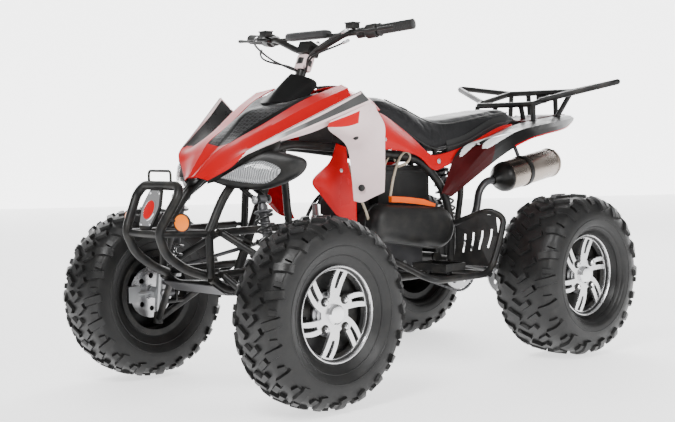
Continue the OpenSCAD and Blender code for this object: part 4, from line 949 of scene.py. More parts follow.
def shrouds():
    """Pointed red plates beside the frame, behind the front wheels."""
    shape = Shape()
    net = [[at(0.254, 0.146, 0.758), at(0.234, 0.15, 0.75), at(0.216, 0.15, 0.745)],
           [at(0.3, 0.162, 0.7), at(0.262, 0.172, 0.69), at(0.222, 0.168, 0.68)],
           [at(0.366, 0.152, 0.642), at(0.29, 0.174, 0.625), at(0.196, 0.17, 0.6)],
           [at(0.32, 0.15, 0.586), at(0.27, 0.166, 0.575), at(0.19, 0.166, 0.56)],
           [at(0.262, 0.146, 0.53), at(0.23, 0.152, 0.516), at(0.176, 0.152, 0.502)]]
    shape.sheet(net, 0.004, (7, 6), smooth_v=True)
    bolt(shape, at(0.262, 0.1705, 0.672), (0.1, 1, 0.1), 0.007, 0.005, 1)
    shape.mirrored()
    shape.make("shroud_skins", "chassis", ["red", "steel"], bevel=0.0012, sharp=45,
               replaces=("side_shrouds",))


def tank_cover():
    """Domed cover with a knurled filler cap."""
    shape = Shape()
    net = []
    for x, mid, y1, z1, y2, z2, y3, z3 in ((0.226, 0.93, 0.1, 0.938, 0.152, 0.925, 0.168, 0.85),
                                           (0.14, 0.932, 0.092, 0.926, 0.14, 0.9, 0.164, 0.85),
                                           (0.046, 0.915, 0.062, 0.912, 0.1, 0.894, 0.14, 0.862)):
        left = [at(x, y3, z3), at(x, y2, z2), at(x, y1, z1)]
        net.append(left + [at(x, 0, mid)] + [flip(p) for p in reversed(left)])
    shape.sheet(net, 0.004, (8, 6), smooth_v=True)
    place = at(0.15, 0, 0.931)
    shape.turned([(0.0005, 0), (0.034, 0), (0.034, 0.01), (0.031, 0.014), (0.012, 0.015), (0.0005, 0.015)],
                 place, (0.02, 0, 1), 40, 1)
    for a in turns(12):
        spot = place + Vector((*polar(0.034, a), 0.001))
        shape.turned([(0.003, 0), (0.003, 0.011), (0.001, 0.0125)], spot, (0, 0, 1), 8, 1)
    shape.make("tank_skin", "chassis", ["red", "plastic"], bevel=0.0012, sharp=45,
               replaces=("tank_cover",))


SIDE_TOP = [at(0.224, 0.17, 0.844), at(0.14, 0.166, 0.843), at(0.06, 0.15, 0.852), at(-0.06, 0.124, 0.806),
            at(-0.12, 0.126, 0.768), at(-0.19, 0.132, 0.716), at(-0.24, 0.132, 0.706),
            at(-0.38, 0.135, 0.734), at(-0.56, 0.13, 0.792), at(-0.66, 0.116, 0.806)]
SIDE_LOW = [at(0.224, 0.172, 0.752), at(0.14, 0.174, 0.742), at(0.045, 0.166, 0.732),
            at(-0.06, 0.152, 0.721), at(-0.14, 0.142, 0.7), at(-0.205, 0.141, 0.656),
            at(-0.262, 0.138, 0.662), at(-0.38, 0.136, 0.696), at(-0.56, 0.131, 0.756),
            at(-0.66, 0.118, 0.782)]


def side_panels():
    """Bulged red panels under the seat's edge."""
    shape = Shape()
    net = []
    for i, (low, top) in enumerate(zip(SIDE_LOW, SIDE_TOP)):
        bulge = 0.01 if i < 4 else 0.003
        net.append([low, mix(low, top, 0.25) + Vector((0, bulge * 0.75, 0)),
                    mix(low, top, 0.5) + Vector((0, bulge, 0)),
                    mix(low, top, 0.75) + Vector((0, bulge * 0.75, 0)), top])
    shape.sheet(net, 0.004, (6, 3), smooth_v=True)
    bolt(shape, at(0.055, 0.1655, 0.765), (0, 1, 0), 0.007, 0.005, 1)
    bolt(shape, at(-0.236, 0.1395, 0.684), (0, 1, 0), 0.006, 0.005, 1)
    shape.mirrored()
    shape.make("side_skins", "chassis", ["red", "steel"], bevel=0.0012, sharp=45,
               replaces=("side_panels",))


WING_IN = [at(-0.23, 0.154, 0.574), at(-0.33, 0.144, 0.716), at(-0.48, 0.144, 0.76), at(-0.65, 0.132, 0.8),
           at(-0.9, 0.104, 0.828), at(-1.06, 0.07, 0.834)]
WING_MID = [at(-0.246, 0.164, 0.568), at(-0.42, 0.22, 0.74), at(-0.54, 0.25, 0.782), at(-0.65, 0.238, 0.796),
            at(-0.86, 0.19, 0.812), at(-1.062, 0.1, 0.822)]
WING_OUT = [at(-0.262, 0.172, 0.562), at(-0.44, 0.244, 0.692), at(-0.56, 0.266, 0.744),
            at(-0.68, 0.252, 0.764), at(-0.86, 0.205, 0.782), at(-1.054, 0.098, 0.806)]
# Start and length along the wing, level across it and half width, all as shares
TEARDROPS = ((0.17, 0.22, 0.52, 0.13), (0.15, 0.42, 0.86, 0.11))


def rear_fenders():
    """Gloss black wings with a silver teardrop and a deep red lower front."""
    shape = Shape()
    net = [[a, mix(a, b, 0.5) + Vector((0, 0.002, 0.002)), b, mix(b, c, 0.5) + Vector((0, 0, 0.003)), c]
           for a, b, c in zip(WING_OUT, WING_MID, WING_IN)]

    def paint(u, v):
        for start, length, level, width in TEARDROPS:
            along = (u - start) / length
            if 0 < along < 1 and abs(v - level) < width * math.sin(math.pi * along ** 0.6):
                return 1
        if u < 0.15 + 0.06 * math.sin(v * 3):
            return 2
        return 3 if v < 0.06 and u > 0.3 else 0
    shape.sheet(net, 0.004, (30, 14), paint, smooth_v=False)
    bolt(shape, at(-0.386, 0.186, 0.7385), (0, 0.3, 1), 0.007, 0.004, 4)
    shape.mirrored()
    shape.make("rear_fender_skins", "chassis", ["gloss_black", "white", "deep_red", "red", "steel"],
               bevel=0.001, sharp=30, replaces=("rear_fenders",))


def tail():
    """Tail cover with its dark middle, and the lamp under it."""
    shape = Shape()
    net = []
    for x, y, z, mid in ((-0.7254, 0.104, 0.815, 0.826), (-0.8, 0.104, 0.818, 0.83),
                         (-0.93, 0.094, 0.834, 0.838), (-1.058, 0.06, 0.838, 0.838)):
        net.append([at(x, y * k, mix(mid, z, abs(k) ** 2)) for k in (1, 0.5, 0, -0.5, -1)])
    shape.sheet(net, 0.004, (6, 4), lambda u, v: 1 if 0.3 < v < 0.7 else 0)
    for y in (-0.03, 0.03):
        bolt(shape, at(-0.87, y, 0.8335), (0, 0, 1), 0.006, 0.004, 2)
    shape.make("tail_skin", "chassis", ["deep_red", "cowl", "steel"], bevel=0.001, sharp=40,
               replaces=("tail_cover",))
    lamp = Shape()
    outline = [(0.034 * s + 0.0136 * math.cos(a), 0.0136 * math.sin(a)) for s, start in ((1, -90), (-1, 90))
               for a in [math.radians(start + 18 * k) for k in range(11)]]
    for scale, x0, x1, mat in ((1.0, -1.026, -1.058, 1), (0.9, -1.058, -1.0665, 0)):
        lamp.rings([[at(x, y * scale, 0.8196 + z * scale) for y, z in outline] for x in (x0, x1)], mat)
    lamp.make("tail_lamp", "chassis", ["red_lens", "plastic"], bevel=0.0015,
              replaces=("tail_light",))


front_fenders()
leg_guards()
bonnet()
cowl()
headlights()
shrouds()
tank_cover()
side_panels()
rear_fenders()
tail()


# ---- Seat ----

# Distance forward, bottom, top, half width at the bottom and half width of the flat top
SEAT_RINGS = [(0.03, 0.876, 0.897, 0.084, 0.045), (-0.04, 0.826, 0.912, 0.098, 0.055),
              (-0.135, 0.762, 0.876, 0.114, 0.072), (-0.222, 0.722, 0.838, 0.124, 0.092),
              (-0.3, 0.726, 0.827, 0.126, 0.104), (-0.4, 0.746, 0.836, 0.128, 0.112),
              (-0.54, 0.796, 0.848, 0.124, 0.112), (-0.65, 0.81, 0.855, 0.108, 0.098),
              (-0.725, 0.812, 0.824, 0.09, 0.07)]
PAD_INSET = 0.004
CLOTH_CAP = 0.008


def swell(piece, voxel, pressure, cap):
    """Remeshes the pad, swells it as cloth and keeps each point within the cap."""
    remesh = piece.modifiers.new("skin", "REMESH")
    remesh.mode = "VOXEL"
    remesh.voxel_size = voxel
    bake(piece)
    start = [v.co.copy() for v in piece.data.vertices]
    cloth = piece.modifiers.new("cloth", "CLOTH")
    cloth.settings.use_pressure = True
    cloth.settings.uniform_pressure_force = pressure
    cloth.settings.effector_weights.gravity = 0
    cloth.settings.quality = 5
    scene = bpy.context.scene
    for step in range(1, 21):
        scene.frame_set(step)
    bake(piece)
    scene.frame_set(1)
    for v, p in zip(piece.data.vertices, start):
        move = v.co - p
        if move.length > cap:
            v.co = p + move * (cap / move.length)


def seat():
    """Padded seat, its piping, two cross seams and the pan under its edge, whose black also stands for
    painted shade in the slit above the side panel.
    """
    shape = Shape()
    lines = []
    for x, low, high, w, t in SEAT_RINGS:
        w, t, low, high = w - PAD_INSET, t - PAD_INSET, low + PAD_INSET * 0.5, high - PAD_INSET
        half = [(0, 1), (t * 0.5, 0.985), (t * 0.82, 0.95), (mix(t, w, 0.35), 0.82), (mix(t, w, 0.8), 0.55),
                (w, 0.25), (w - 0.002, 0.0), (w * 0.5, 0.0), (0, 0.0)]
        ring = half + [(-y, h) for y, h in reversed(half[1:-1])]
        lines.append([at(x, y, mix(low, high, h)) for y, h in ring])
    columns = [curve_through([line[j] for line in lines], 7) for j in range(len(lines[0]))]
    shape.rings([[c[i] for c in columns] for i in range(len(columns[0]))])
    piece = shape.make("seat_pad", "chassis", ["vinyl"], sharp=70, replaces=("seat",))
    swell(piece, 0.006, 4, CLOTH_CAP)
    finer = piece.modifiers.new("finer", "SUBSURF")
    finer.levels = 1
    bake(piece)
    piece.data.polygons.foreach_set("use_smooth", [True] * len(piece.data.polygons))
    piece.data.materials.clear()
    piece.data.materials.append(M["vinyl"])
    seams = Shape()
    upper = [at(x, mix(t, w, 0.42) + 0.002, mix(low, high, 0.86) - 0.002)
             for x, low, high, w, t in SEAT_RINGS[1:-1]]
    seams.tube(upper, 0.0022, sides=8, smooth=True)
    lower = [at(x, w + 0.0005, mix(low, high, 0.06)) for x, low, high, w, t in SEAT_RINGS[1:-1]]
    seams.tube(lower, 0.003, sides=8, smooth=True)
    # Black strip under the seat's edge: the seat's pan, and painted shade in the slit above the side panel.
    seams.sheet([[at(x, w - 0.012, low + 0.026), at(x, w - 0.006, low), at(x, w - 0.012, low - 0.022)]
                 for x, low, high, w, t in SEAT_RINGS[4:-1]], 0.003, (4, 1))
    seams.mirrored()
    for i in (2, 6):
        x, low, high, w, t = SEAT_RINGS[i]
        half = [at(x, mix(t, w, 0.42), mix(low, high, 0.87)), at(x, t * 0.8, high - 0.004)]
        across = [flip(p) for p in half] + [at(x, 0, high - 0.0005)] + half[::-1]
        seams.tube(across, 0.002, sides=8, smooth=True)
    seams.make("seat_piping", "chassis", ["rubber"], sharp=60)


# ---- Engine, exhaust and suspension ----

SILENCER_FRONT = at(-0.58, 0.122, 0.611)
SILENCER_WAY = unit(Vector((-0.306, 0, 0.048)))
SILENCER_R = 0.054


def silencer():
    """Cone, brushed can, strap, rims and end rivets."""
    shape = Shape()
    r = SILENCER_R
    shape.turned([(0.017, -0.04), (0.02, -0.03), (0.03, -0.014), (0.046, 0.002), (0.0525, 0.014),
                  (r, 0.022), (r, 0.026)], SILENCER_FRONT, SILENCER_WAY, 64, 1)
    shape.turned([(r - 0.001, 0.02), (r - 0.0002, 0.024), (r - 0.0002, 0.296), (r - 0.003, 0.304),
                  (r - 0.007, 0.306), (0.03, 0.3062), (0.024, 0.304), (0.0205, 0.3), (0.0205, 0.252),
                  (0.0005, 0.251)], SILENCER_FRONT, SILENCER_WAY, 72, 0)
    shape.turned([(r, 0.1185), (r + 0.0025, 0.1185), (r + 0.0028, 0.121), (r + 0.0028, 0.135),
                  (r + 0.0025, 0.1375), (r, 0.1375)], SILENCER_FRONT, SILENCER_WAY, 64, 1, caps=False)
    for h in (0.027, 0.288):
        shape.turned([(r - 0.001, h), (r + 0.0012, h + 0.001), (r + 0.0012, h + 0.005),
                      (r - 0.001, h + 0.006)], SILENCER_FRONT, SILENCER_WAY, 64, 0, caps=False)
    for a in turns(6):
        out = Vector((0, math.cos(a), math.sin(a)))
        shape.turned([(0.003, -0.001), (0.003, 0.001), (0.001, 0.002)],
                     SILENCER_FRONT + SILENCER_WAY * 0.291 + out * r, out, 12, 0)
    shape.make("silencer_can", "chassis", ["stainless", "frame"], sharp=30,
               replaces=("silencer",))


def exhaust():
    """Pipe from the engine and the silencer's hanger."""
    shape = Shape()
    shape.tube([at(-0.186, 0.02, 0.42), at(-0.33, 0.02, 0.432), at(-0.42, 0.096, 0.44),
                at(-0.462, 0.108, 0.49), at(-0.478, 0.11, 0.57), at(-0.51, 0.116, 0.602),
                SILENCER_FRONT - SILENCER_WAY * 0.03], 0.0139, 0.05, 18)
    shape.tube([SILENCER_FRONT + SILENCER_WAY * 0.128 + Vector((0, -0.012, 0.05)), at(-0.69, 0.07, 0.796)],
               0.007, sides=12)
    shape.make("exhaust_tube", "chassis", ["dark_steel"], replaces=("exhaust_pipe",))


def stadium(a, b, ra, rb, steps=18):
    """Outline round two circles in the XZ plane."""
    way = b - a
    turn = math.atan2(way.z, way.x)
    lean = math.acos((ra - rb) / way.length)
    out = []
    for k in range(steps + 1):
        t = turn + lean + (2 * math.pi - 2 * lean) * k / steps
        out.append((a.x + ra * math.cos(t), a.z + ra * math.sin(t)))
    for k in range(steps + 1):
        t = turn - lean + 2 * lean * k / steps
        out.append((b.x + rb * math.cos(t), b.z + rb * math.sin(t)))
    return out


def cvt_cover():
    """Stepped drive cover with bolts round its flange."""
    shape = Shape()
    front, rear = at(0.066, 0, 0.492), at(-0.196, 0, 0.46)

    def outline(extra):
        return [Vector((x, 0, z)) for x, z in stadium(rear, front, 0.07 + extra, 0.06 + extra)]
    steps = [(-0.004, 0.0968), (-0.004, 0.13), (0.004, 0.132), (0.004, 0.14), (0.001, 0.142), (0.001, 0.16),
             (-0.002, 0.172), (-0.009, 0.183), (-0.02, 0.191), (-0.034, 0.195), (-0.05, 0.1958)]
    shape.rings([[p + Vector((0, y, 0)) for p in outline(extra)] for extra, y in steps])
    rim = outline(-0.004)
    for k in range(0, len(rim), 4):
        bolt(shape, rim[k] + Vector((0, 0.1405, 0)), (0, 1, 0), 0.004, 0.005, 1)
    shape.make("drive_cover", "chassis", ["plastic", "steel"], sharp=35,
               replaces=("cvt_cover",))


def engine_details():
    """Fins, side covers, bolts, plug and hoses on the plain block."""
    shape = Shape()
    for count, first, pitch, thick, low, high in ((9, 0.068, 0.0125, 0.004, (-0.088, 0.366), (0.078, 0.4915)),
                                                  (5, 0.19, 0.017, 0.005, (-0.076, 0.372), (0.066, 0.494))):
        for k in range(count):
            x = first + pitch * k
            shape.block(at(x, *low), at(x + thick, *high))
    shape.turned([(0.052, 0), (0.052, 0.007), (0.046, 0.011), (0.02, 0.012), (0.0005, 0.012)],
                 at(-0.06, -0.0895, 0.405), (0, -1, 0), 48)
    shape.turned([(0.038, 0), (0.038, 0.006), (0.032, 0.009), (0.0005, 0.009)], at(0.05, -0.0895, 0.4),
                 (0, -1, 0), 48)
    for x, z in ((-0.13, 0.45), (-0.06, 0.47), (0.03, 0.46), (0.1, 0.43), (0.11, 0.36), (0.02, 0.345),
                 (-0.1, 0.345), (-0.04, 0.345)):
        bolt(shape, at(x, -0.09, z), (0, -1, 0), 0.006, 0.006, 1)
        bolt(shape, at(x, 0.096, z - 0.002), (0, 1, 0), 0.006, 0.006, 1)
    shape.turned([(0.016, 0), (0.016, 0.035), (0.012, 0.038), (0.009, 0.075), (0.006, 0.078)],
                 at(0.245, 0.03, 0.486), (0, 0, 1), 20, 1)
    shape.make("engine_fins", "chassis", ["cast", "steel"], bevel=0.0008)
    hoses = Shape()
    strip = [(0.026, 0.578), (-0.06, 0.57), (-0.13, 0.56), (-0.188, 0.541), (-0.186, 0.531), (-0.1, 0.545),
             (-0.03, 0.554), (0.026, 0.558)]
    hoses.prism([(x + SHIFT, z) for x, z in strip], 0.15, 0.163, 1)
    hoses.tube([at(0.02, 0.15, 0.57), at(-0.01, 0.14, 0.64), at(-0.052, 0.128, 0.7),
                at(-0.086, 0.126, 0.722), at(-0.104, 0.127, 0.706), at(-0.088, 0.128, 0.684),
                at(-0.05, 0.122, 0.672)], 0.0045, sides=12, smooth=True)
    hoses.tube([at(0.02, 0.11, 0.6), at(0.01, 0.116, 0.67), at(-0.03, 0.112, 0.716), at(-0.052, 0.108, 0.69)],
               0.003, sides=10, smooth=True)
    hoses.tube([at(0.14, 0.08, 0.69), at(0.17, 0.14, 0.62), at(0.15, 0.165, 0.54), at(0.11, 0.14, 0.5),
                at(0.06, 0.1, 0.485)], 0.0045, sides=10, smooth=True)
    hoses.tube([at(0.23, 0.03, 0.56), at(0.2, 0.05, 0.64), at(0.14, 0.05, 0.7), at(0.1, 0.05, 0.742)],
               0.006, sides=10, mat=2, smooth=True)
    hoses.tube([at(0.02, -0.06, 0.6), at(0.1, -0.1, 0.58), at(0.16, -0.11, 0.5), at(0.17, -0.08, 0.47)],
               0.006, sides=10, mat=2, smooth=True)
    hoses.make("engine_hoses", "chassis", ["hose", "orange", "rubber"], sharp=60)


def airbox_lid():
    """Rim round the airbox's top."""
    shape = Shape()
    shape.block(at(-0.2435, -0.0895, 0.648), at(0.0135, 0.0895, 0.66))
    shape.make("airbox_ribs", "chassis", ["plastic"], bevel=0.001)


def spring(shape, low, way, r, wire, length, coils, mat):
    """Coil of round wire with an outer radius r."""
    side = unit(way.cross(Vector((0, 1, 0)) if abs(way.y) < 0.9 else Vector((1, 0, 0))))
    up = way.cross(side)
    path = []
    count = coils * 20
    for k in range(count + 1):
        a = 2 * math.pi * k / 20
        path.append(low + way * (wire + (length - 2 * wire) * k / count)
                    + (side * math.cos(a) + up * math.sin(a)) * (r - wire))
    shape.tube(path, wire, 0, 10, mat)


def suspension():
    """Two front shock units and the single rear one."""
    shape = Shape()
    low, high = at(0.618, 0.268, 0.29), at(0.614, 0.196, 0.6)
    way, length = unit(high - low), (high - low).length
    shape.turned([(0.0065, 0), (0.0065, length - 0.12)], low, way, 24, 0)
    shape.turned([(0.012, length - 0.165), (0.015, length - 0.16), (0.015, length - 0.02),
                  (0.01, length - 0.012)], low, way, 32, 1)
    for h in (0.028, length - 0.04):
        shape.turned([(0.018, h - 0.003), (0.0288, h), (0.0288, h + 0.005), (0.025, h + 0.007),
                      (0.018, h + 0.008)], low, way, 40, 1)
    for k in range(6):
        shape.turned([(0.0152, length - 0.105 + k * 0.007), (0.0165, length - 0.1035 + k * 0.007),
                      (0.0152, length - 0.102 + k * 0.007)], low, way, 28, 1, caps=False)
    for p in (low, high):
        shape.turned([(0.006, -0.013), (0.0125, -0.0128), (0.013, -0.011), (0.013, 0.011),
                      (0.0125, 0.0128), (0.006, 0.013)], p, (1, 0, 0), 32, 1)
        shape.turned([(0.0054, -0.034), (0.0054, 0.034)], p, (1, 0, 0), 16, 2)
        for side in (1, -1):
            bolt(shape, p + Vector((0.026 * side, 0, 0)), (side, 0, 0), 0.009, 0.007, 2)
    spring(shape, low + way * 0.0345, way, 0.028, 0.0042, length - 0.0755, 8, 3)
    shape.mirrored()
    low, high = at(-0.455, 0, 0.392), at(-0.384, 0, 0.69)
    way, length = unit(high - low), (high - low).length
    shape.turned([(0.0075, 0), (0.0075, length - 0.1)], low, way, 24, 0)
    shape.turned([(0.014, length - 0.15), (0.0178, length - 0.145), (0.0178, length - 0.01)], low, way, 32, 1)
    for h in (0.03, length - 0.05):
        shape.turned([(0.02, h - 0.003), (0.0325, h), (0.0325, h + 0.005), (0.028, h + 0.008)],
                     low, way, 40, 1)
    shape.turned([(0.006, -0.018), (0.014, -0.018), (0.014, 0.018), (0.006, 0.018)], low, (0, 1, 0), 32, 1)
    shape.turned([(0.0054, -0.034), (0.0054, 0.034)], low, (0, 1, 0), 16, 2)
    shape.tube([high, at(-0.384, 0, 0.712)], 0.0115, mat=1)
    spring(shape, low + way * 0.0365, way, 0.032, 0.0043, length - 0.087, 8, 3)
    shape.make("shock_units", "chassis", ["chrome", "dark_steel", "steel", "spring"],
               sharp=35, replaces=("shock_absorbers", "coil_springs"))


CHAIN_PITCH = 0.0127
CHAIN_Y = -0.097


def chain_links():
    """Rollers and plates along the loop, over the plain chain."""
    rear, gear = Vector((REAR_X, 0, WHEEL_Z)), at(-0.15, 0, 0.37)
    rear_r, gear_r = 0.096, 0.0342
    outline = [Vector((x, 0, z)) for x, z in stadium(rear, gear, rear_r, gear_r, 60)]
    total = sum((b - a).length for a, b in zip(outline, outline[1:] + outline[:1]))
    count = int(total / CHAIN_PITCH / 2) * 2
    spots, want, walked = [], 0.0, 0.0
    for a, b in zip(outline, outline[1:] + outline[:1]):
        length = (b - a).length
        while want < walked + length and len(spots) < count:
            spots.append(mix(a, b, (want - walked) / length))
            want += total / count
        walked += length
    shape = Shape()
    for k, p in enumerate(spots):
        q = spots[(k + 1) % count]
        shape.turned([(0.0035, -0.0055), (0.0035, 0.0055)], p + Vector((0, CHAIN_Y, 0)), (0, 1, 0), 10)
        way = unit(q - p)
        up = Vector((-way.z, 0, way.x))
        wide = 0.0052 if k % 2 else 0.0038
        for side in (1, -1):
            ring = [p - way * 0.003 + up * 0.0035, mix(p, q, 0.5) + up * 0.0026,
                    q + way * 0.003 + up * 0.0035, q + way * 0.003 - up * 0.0035,
                    mix(p, q, 0.5) - up * 0.0026, p - way * 0.003 - up * 0.0035]
            shape.rings([[c + Vector((0, CHAIN_Y + side * wide + t, 0)) for c in ring]
                         for t in (-0.0006, 0.0006)])
    shape.make("chain_links", "chassis", ["dark_steel"], sharp=30, replaces=("chain",))


# ---- Steering ----

COLUMN_TILT = math.radians(25)
CLAMP = at(0.22908, 0, 1.06069)
BAR = [CLAMP + Vector(p) for p in ((0, 0, 0), (0, 0.052, 0), (-0.008, 0.168, 0.044), (-0.046, 0.24, 0.046),
                                   (-0.084, 0.385, 0.06))]
GRIP_WAY = unit(BAR[4] - BAR[3])
GRIP_START = BAR[4] - GRIP_WAY * 0.118
COLUMN_WAY = Vector((-math.sin(COLUMN_TILT), 0, math.cos(COLUMN_TILT)))


def squared(value, power=0.7):
    """Flattens a sine or cosine, for an oval with fuller corners."""
    return math.copysign(abs(value) ** power, value)


def handlebar():
    """Bent bar, cross bar, padded sleeve and clamp."""
    shape = Shape()
    shape.tube(full(BAR[1:]), 0.0109, 0.022, 18)
    shape.tube([CLAMP + Vector((-0.004, -0.14, 0.04)), CLAMP + Vector((-0.004, 0.14, 0.04))], 0.006, sides=14)
    shape.make("handlebar_tube", "steering", ["frame"], replaces=("handlebar",))
    pad = Shape()
    half = [(0.0895, 0.72), (0.088, 0.9), (0.084, 1.0), (0.05, 1.02)]
    pad.rings([[CLAMP + Vector((squared(math.cos(a)) * 0.0252 * s, y,
                                0.046 + squared(math.sin(a)) * 0.0136 * s)) for a in turns(32)]
               for y, s in [(-y, s) for y, s in half] + [(0, 1.03)] + half[::-1]])
    piece = pad.make("bar_pad_cover", "steering", ["pad"], sharp=60, replaces=("bar_pad",))
    clamp = Shape()
    for y in (-0.018, 0.018):
        for x in (-0.017, 0.017):
            bolt(clamp, CLAMP + COLUMN_WAY * 0.02 + Vector((x, y, 0.003)), COLUMN_WAY, 0.005, 0.006)
    foot = CLAMP - COLUMN_WAY * 0.074
    across = Vector((0, 1, 0)).cross(COLUMN_WAY)
    corners = ((-0.02, -0.018), (-0.018, -0.022), (0.018, -0.022), (0.02, -0.018),
               (0.02, 0.018), (0.018, 0.022), (-0.018, 0.022), (-0.02, 0.018))
    # The clamp's foot takes the pale pink of painted reflection.
    clamp.rings([[foot + COLUMN_WAY * h + Vector((0, y * s, 0)) + across * (x * s) for x, y in corners]
                 for h, s in ((0, 0.9), (0.004, 1), (0.046, 1), (0.05, 0.9))], 1)
    clamp.make("clamp_bolts", "steering", ["steel", "pale"])


def grips():
    """Ribbed sleeves with a flange."""
    shape = Shape()
    profile = [(0.0115, -0.001), (0.0205, 0.0), (0.0213, 0.002), (0.0205, 0.0045), (0.0165, 0.006)]
    for k in range(17):
        h = 0.01 + k * 0.0062
        profile += [(0.0148, h), (0.0163, h + 0.0012), (0.0163, h + 0.0038), (0.0148, h + 0.005)]
    profile += [(0.0165, 0.1165), (0.0165, 0.1205), (0.012, 0.1222), (0.0005, 0.1222)]
    shape.turned(profile, GRIP_START, GRIP_WAY, 28)
    shape.mirrored()
    shape.make("grip_sleeves", "steering", ["rubber"], sharp=40, replaces=("grips",))


def controls():
    """Switch housings, levers, reservoirs and buttons on both sides."""
    shape = Shape()
    g, w = GRIP_START, GRIP_WAY
    for side in (1, -1):
        way = sided(w, side)
        shape.turned([(0.0113, -0.047), (0.02, -0.046), (0.0225, -0.043), (0.0228, -0.012),
                      (0.0205, -0.006), (0.0113, -0.005)], sided(g, side), way, 36)
        shape.turned([(0.0113, -0.079), (0.0165, -0.079), (0.0168, -0.056), (0.0113, -0.055)],
                     sided(g, side), way, 32)
        shape.tube([sided(g - w * 0.07, side), sided(g - w * 0.062 + Vector((0.04, 0, 0.002)), side)],
                   0.0095, sides=14)
        lever = [g + w * along + Vector((x, 0, z)) for along, x, z in (
            (-0.062, 0.034, 0.002), (-0.03, 0.05, 0), (0.01, 0.061, -0.006), (0.06, 0.062, -0.007),
            (0.102, 0.064, -0.008))]
        last = 8 * (len(lever) - 1)
        radii = [0.0062 - 0.0018 * math.sin(math.pi * i / last) for i in range(last + 1)]
        radii[-1] = 0.0055
        shape.tube([sided(p, side) for p in lever], radii, sides=12, smooth=True)
        low = sided(g - w * 0.066 + Vector((0.02, 0, 0.012)), side)
        shape.block(low + Vector((0.004, -0.018, 0)), low + Vector((0.034, 0.016, 0.016)))
        shape.block(low + Vector((0.002, -0.02, 0.0155)), low + Vector((0.036, 0.018, 0.02)))
        for x, y in ((0.007, -0.015), (0.031, 0.013)):
            shape.turned([(0.003, 0.02), (0.003, 0.021), (0.001, 0.0215)], low + Vector((x, y, 0)),
                         (0, 0, 1), 10, 1)
        for k, colour in ((0, 2), (1, 3)):
            shape.turned([(0.004, 0), (0.004, 0.004), (0.0005, 0.0045)],
                         sided(g - w * (0.018 + 0.014 * k), side) + Vector((-0.018, 0, 0.012)),
                         (-0.6, 0, 0.5), 14, colour)
    shape.make("control_set", "steering", ["plastic", "steel", "red_lens", "orange"],
               bevel=0.0008, sharp=35, replaces=("controls",))


def cables():
    """Four control cables, from the levers down to the column."""
    shape = Shape()
    ends = [at(0.262, 0.0195, 0.99), at(0.276, 0.0195, 0.96)]
    routes = [[at(0.244, 0.206, 1.08), at(0.268, 0.176, 1.064), at(0.294, 0.13, 1.046),
               at(0.298, 0.088, 1.03), at(0.274, 0.042, 1.011)],
              [at(0.262, 0.22, 1.112), at(0.29, 0.176, 1.088), at(0.312, 0.13, 1.058),
               at(0.308, 0.084, 1.03), at(0.276, 0.04, 1.006)],
              [at(0.25, -0.212, 1.07), at(0.276, -0.186, 1.054), at(0.3, -0.142, 1.036),
               at(0.304, -0.092, 1.022), at(0.278, -0.042, 1.008)],
              [at(0.262, -0.22, 1.112), at(0.3, -0.19, 1.094), at(0.326, -0.13, 1.064),
               at(0.316, -0.08, 1.03), at(0.28, -0.038, 1.002)]]
    for k, route in enumerate(routes):
        side = 1 if route[0].y > 0 else -1
        tail = [sided(p, side) + Vector((0.006 * (k % 2), 0, 0)) for p in ends]
        shape.tube(route + tail, 0.0033, sides=10, smooth=True)
        shape.turned([(0.0034, 0), (0.0052, 0.002), (0.0052, 0.022), (0.0034, 0.026)], route[0],
                     unit(route[1] - route[0]), 16, 1)
    shape.make("control_cables", "steering", ["rubber", "steel"], sharp=50,
               replaces=("cables",))


seat()
silencer()
exhaust()
cvt_cover()
engine_details()
airbox_lid()
suspension()
chain_links()
handlebar()
grips()
controls()
cables()


# ---- CAD nodes that stay ----

KEPT = {"front_hub_left": "steel", "front_hub_right": "steel", "knuckle_left": "cast",
        "knuckle_right": "cast", "tie_rod_left": "dark_steel", "tie_rod_right": "dark_steel",
        "upper_arms": "frame", "lower_arms": "frame", "cross_tubes": "frame", "skid_plate": "dark_steel",
        "swingarm": "frame", "rear_axle": "steel", "rear_caliper": "cast", "engine": "dark_steel",
        "airbox": "plastic", "footpegs": "frame", "heel_guards": "plastic", "fuel_tank": "plastic",
        "steering_column": "frame",}
for node, material in KEPT.items():
    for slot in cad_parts[node].material_slots:
        slot.material = M[material]


# ---- Stage ----

def area_light(name, place, size, power):
    """Round lamp that looks at the machine."""
    data = bpy.data.lights.new(name, "AREA")
    data.shape = "DISK"
    data.size = size
    data.energy = power
    lamp = new_object(name, data)
    lamp.location = place
    lamp.rotation_euler = (Vector((SHIFT, 0, 0.6)) - Vector(place)).to_track_quat("-Z", "Y").to_euler()


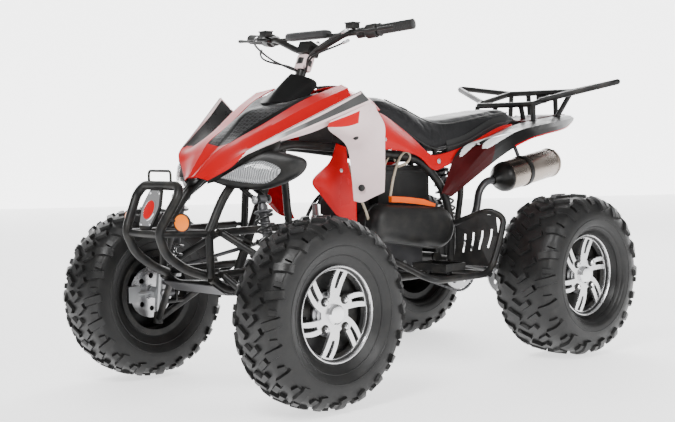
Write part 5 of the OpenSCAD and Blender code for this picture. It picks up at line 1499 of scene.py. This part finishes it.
def glowing_plane(name, corners, mottle, dark, light, rough, glow):
    """Pale, faintly lit floor or backdrop."""
    mesh = bpy.data.meshes.new(name)
    mesh.from_pydata(corners, [], [(0, 1, 2, 3)])
    material, tree, shader = nodes_of(name + "_pale")
    tint = blend_colours(tree, noise(tree, *mottle), (dark,) * 3, (light,) * 3)
    tree.links.new(tint, shader.inputs["Base Color"])
    settings(shader, Roughness=rough, Emission_Color=(1, 1, 1, 1), Emission_Strength=glow)
    mesh.materials.append(material)
    new_object(name, mesh)


def stage():
    reach = 40
    glowing_plane("floor", [(-reach, -reach, 0), (reach, -reach, 0), (reach, reach, 0), (-reach, reach, 0)],
                  (1.5, 2), 0.88, 0.91, 0.7, 1.4)
    glowing_plane("backdrop", [(-16, 2, -0.5), (2, -16, -0.5), (2, -16, 9), (-16, 2, 9)],
                  (0.3, 1), 0.9, 0.92, 0.5, 3.2)
    world = bpy.data.worlds.new("soft_sky")
    world.use_nodes = True
    sky = world.node_tree.nodes["Background"]
    sky.inputs["Color"].default_value = (1, 1, 1, 1)
    sky.inputs["Strength"].default_value = 0.42
    bpy.context.scene.world = world
    area_light("key", (3.4, 1.6, 4.4), 2.0, 210)
    area_light("fill", (0.2, 4.8, 2.4), 2.2, 120)
    area_light("back", (-3.4, -2.6, 3.2), 2.0, 120)


def camera():
    """Stands at the front left, a little under the rack's height; angles are in radians."""
    place = at(3.1941, 3.2303, 0.8105)
    yaw, pitch, roll = -2.3319, -0.0628, -0.0237
    ahead = Vector((math.cos(pitch) * math.cos(yaw), math.cos(pitch) * math.sin(yaw), math.sin(pitch)))
    right = unit(ahead.cross(Vector((0, 0, 1))))
    up = right.cross(ahead)
    side = right * math.cos(roll) + up * math.sin(roll)
    top = up * math.cos(roll) - right * math.sin(roll)
    data = bpy.data.cameras.new("camera")
    data.lens = 71.62
    data.sensor_width = 36
    data.dof.use_dof = False
    view = new_object("camera", data)
    turn = Matrix((side, top, -ahead)).transposed().to_4x4()
    view.matrix_world = Matrix.Translation(place) @ turn
    bpy.context.scene.camera = view


stage()
camera()
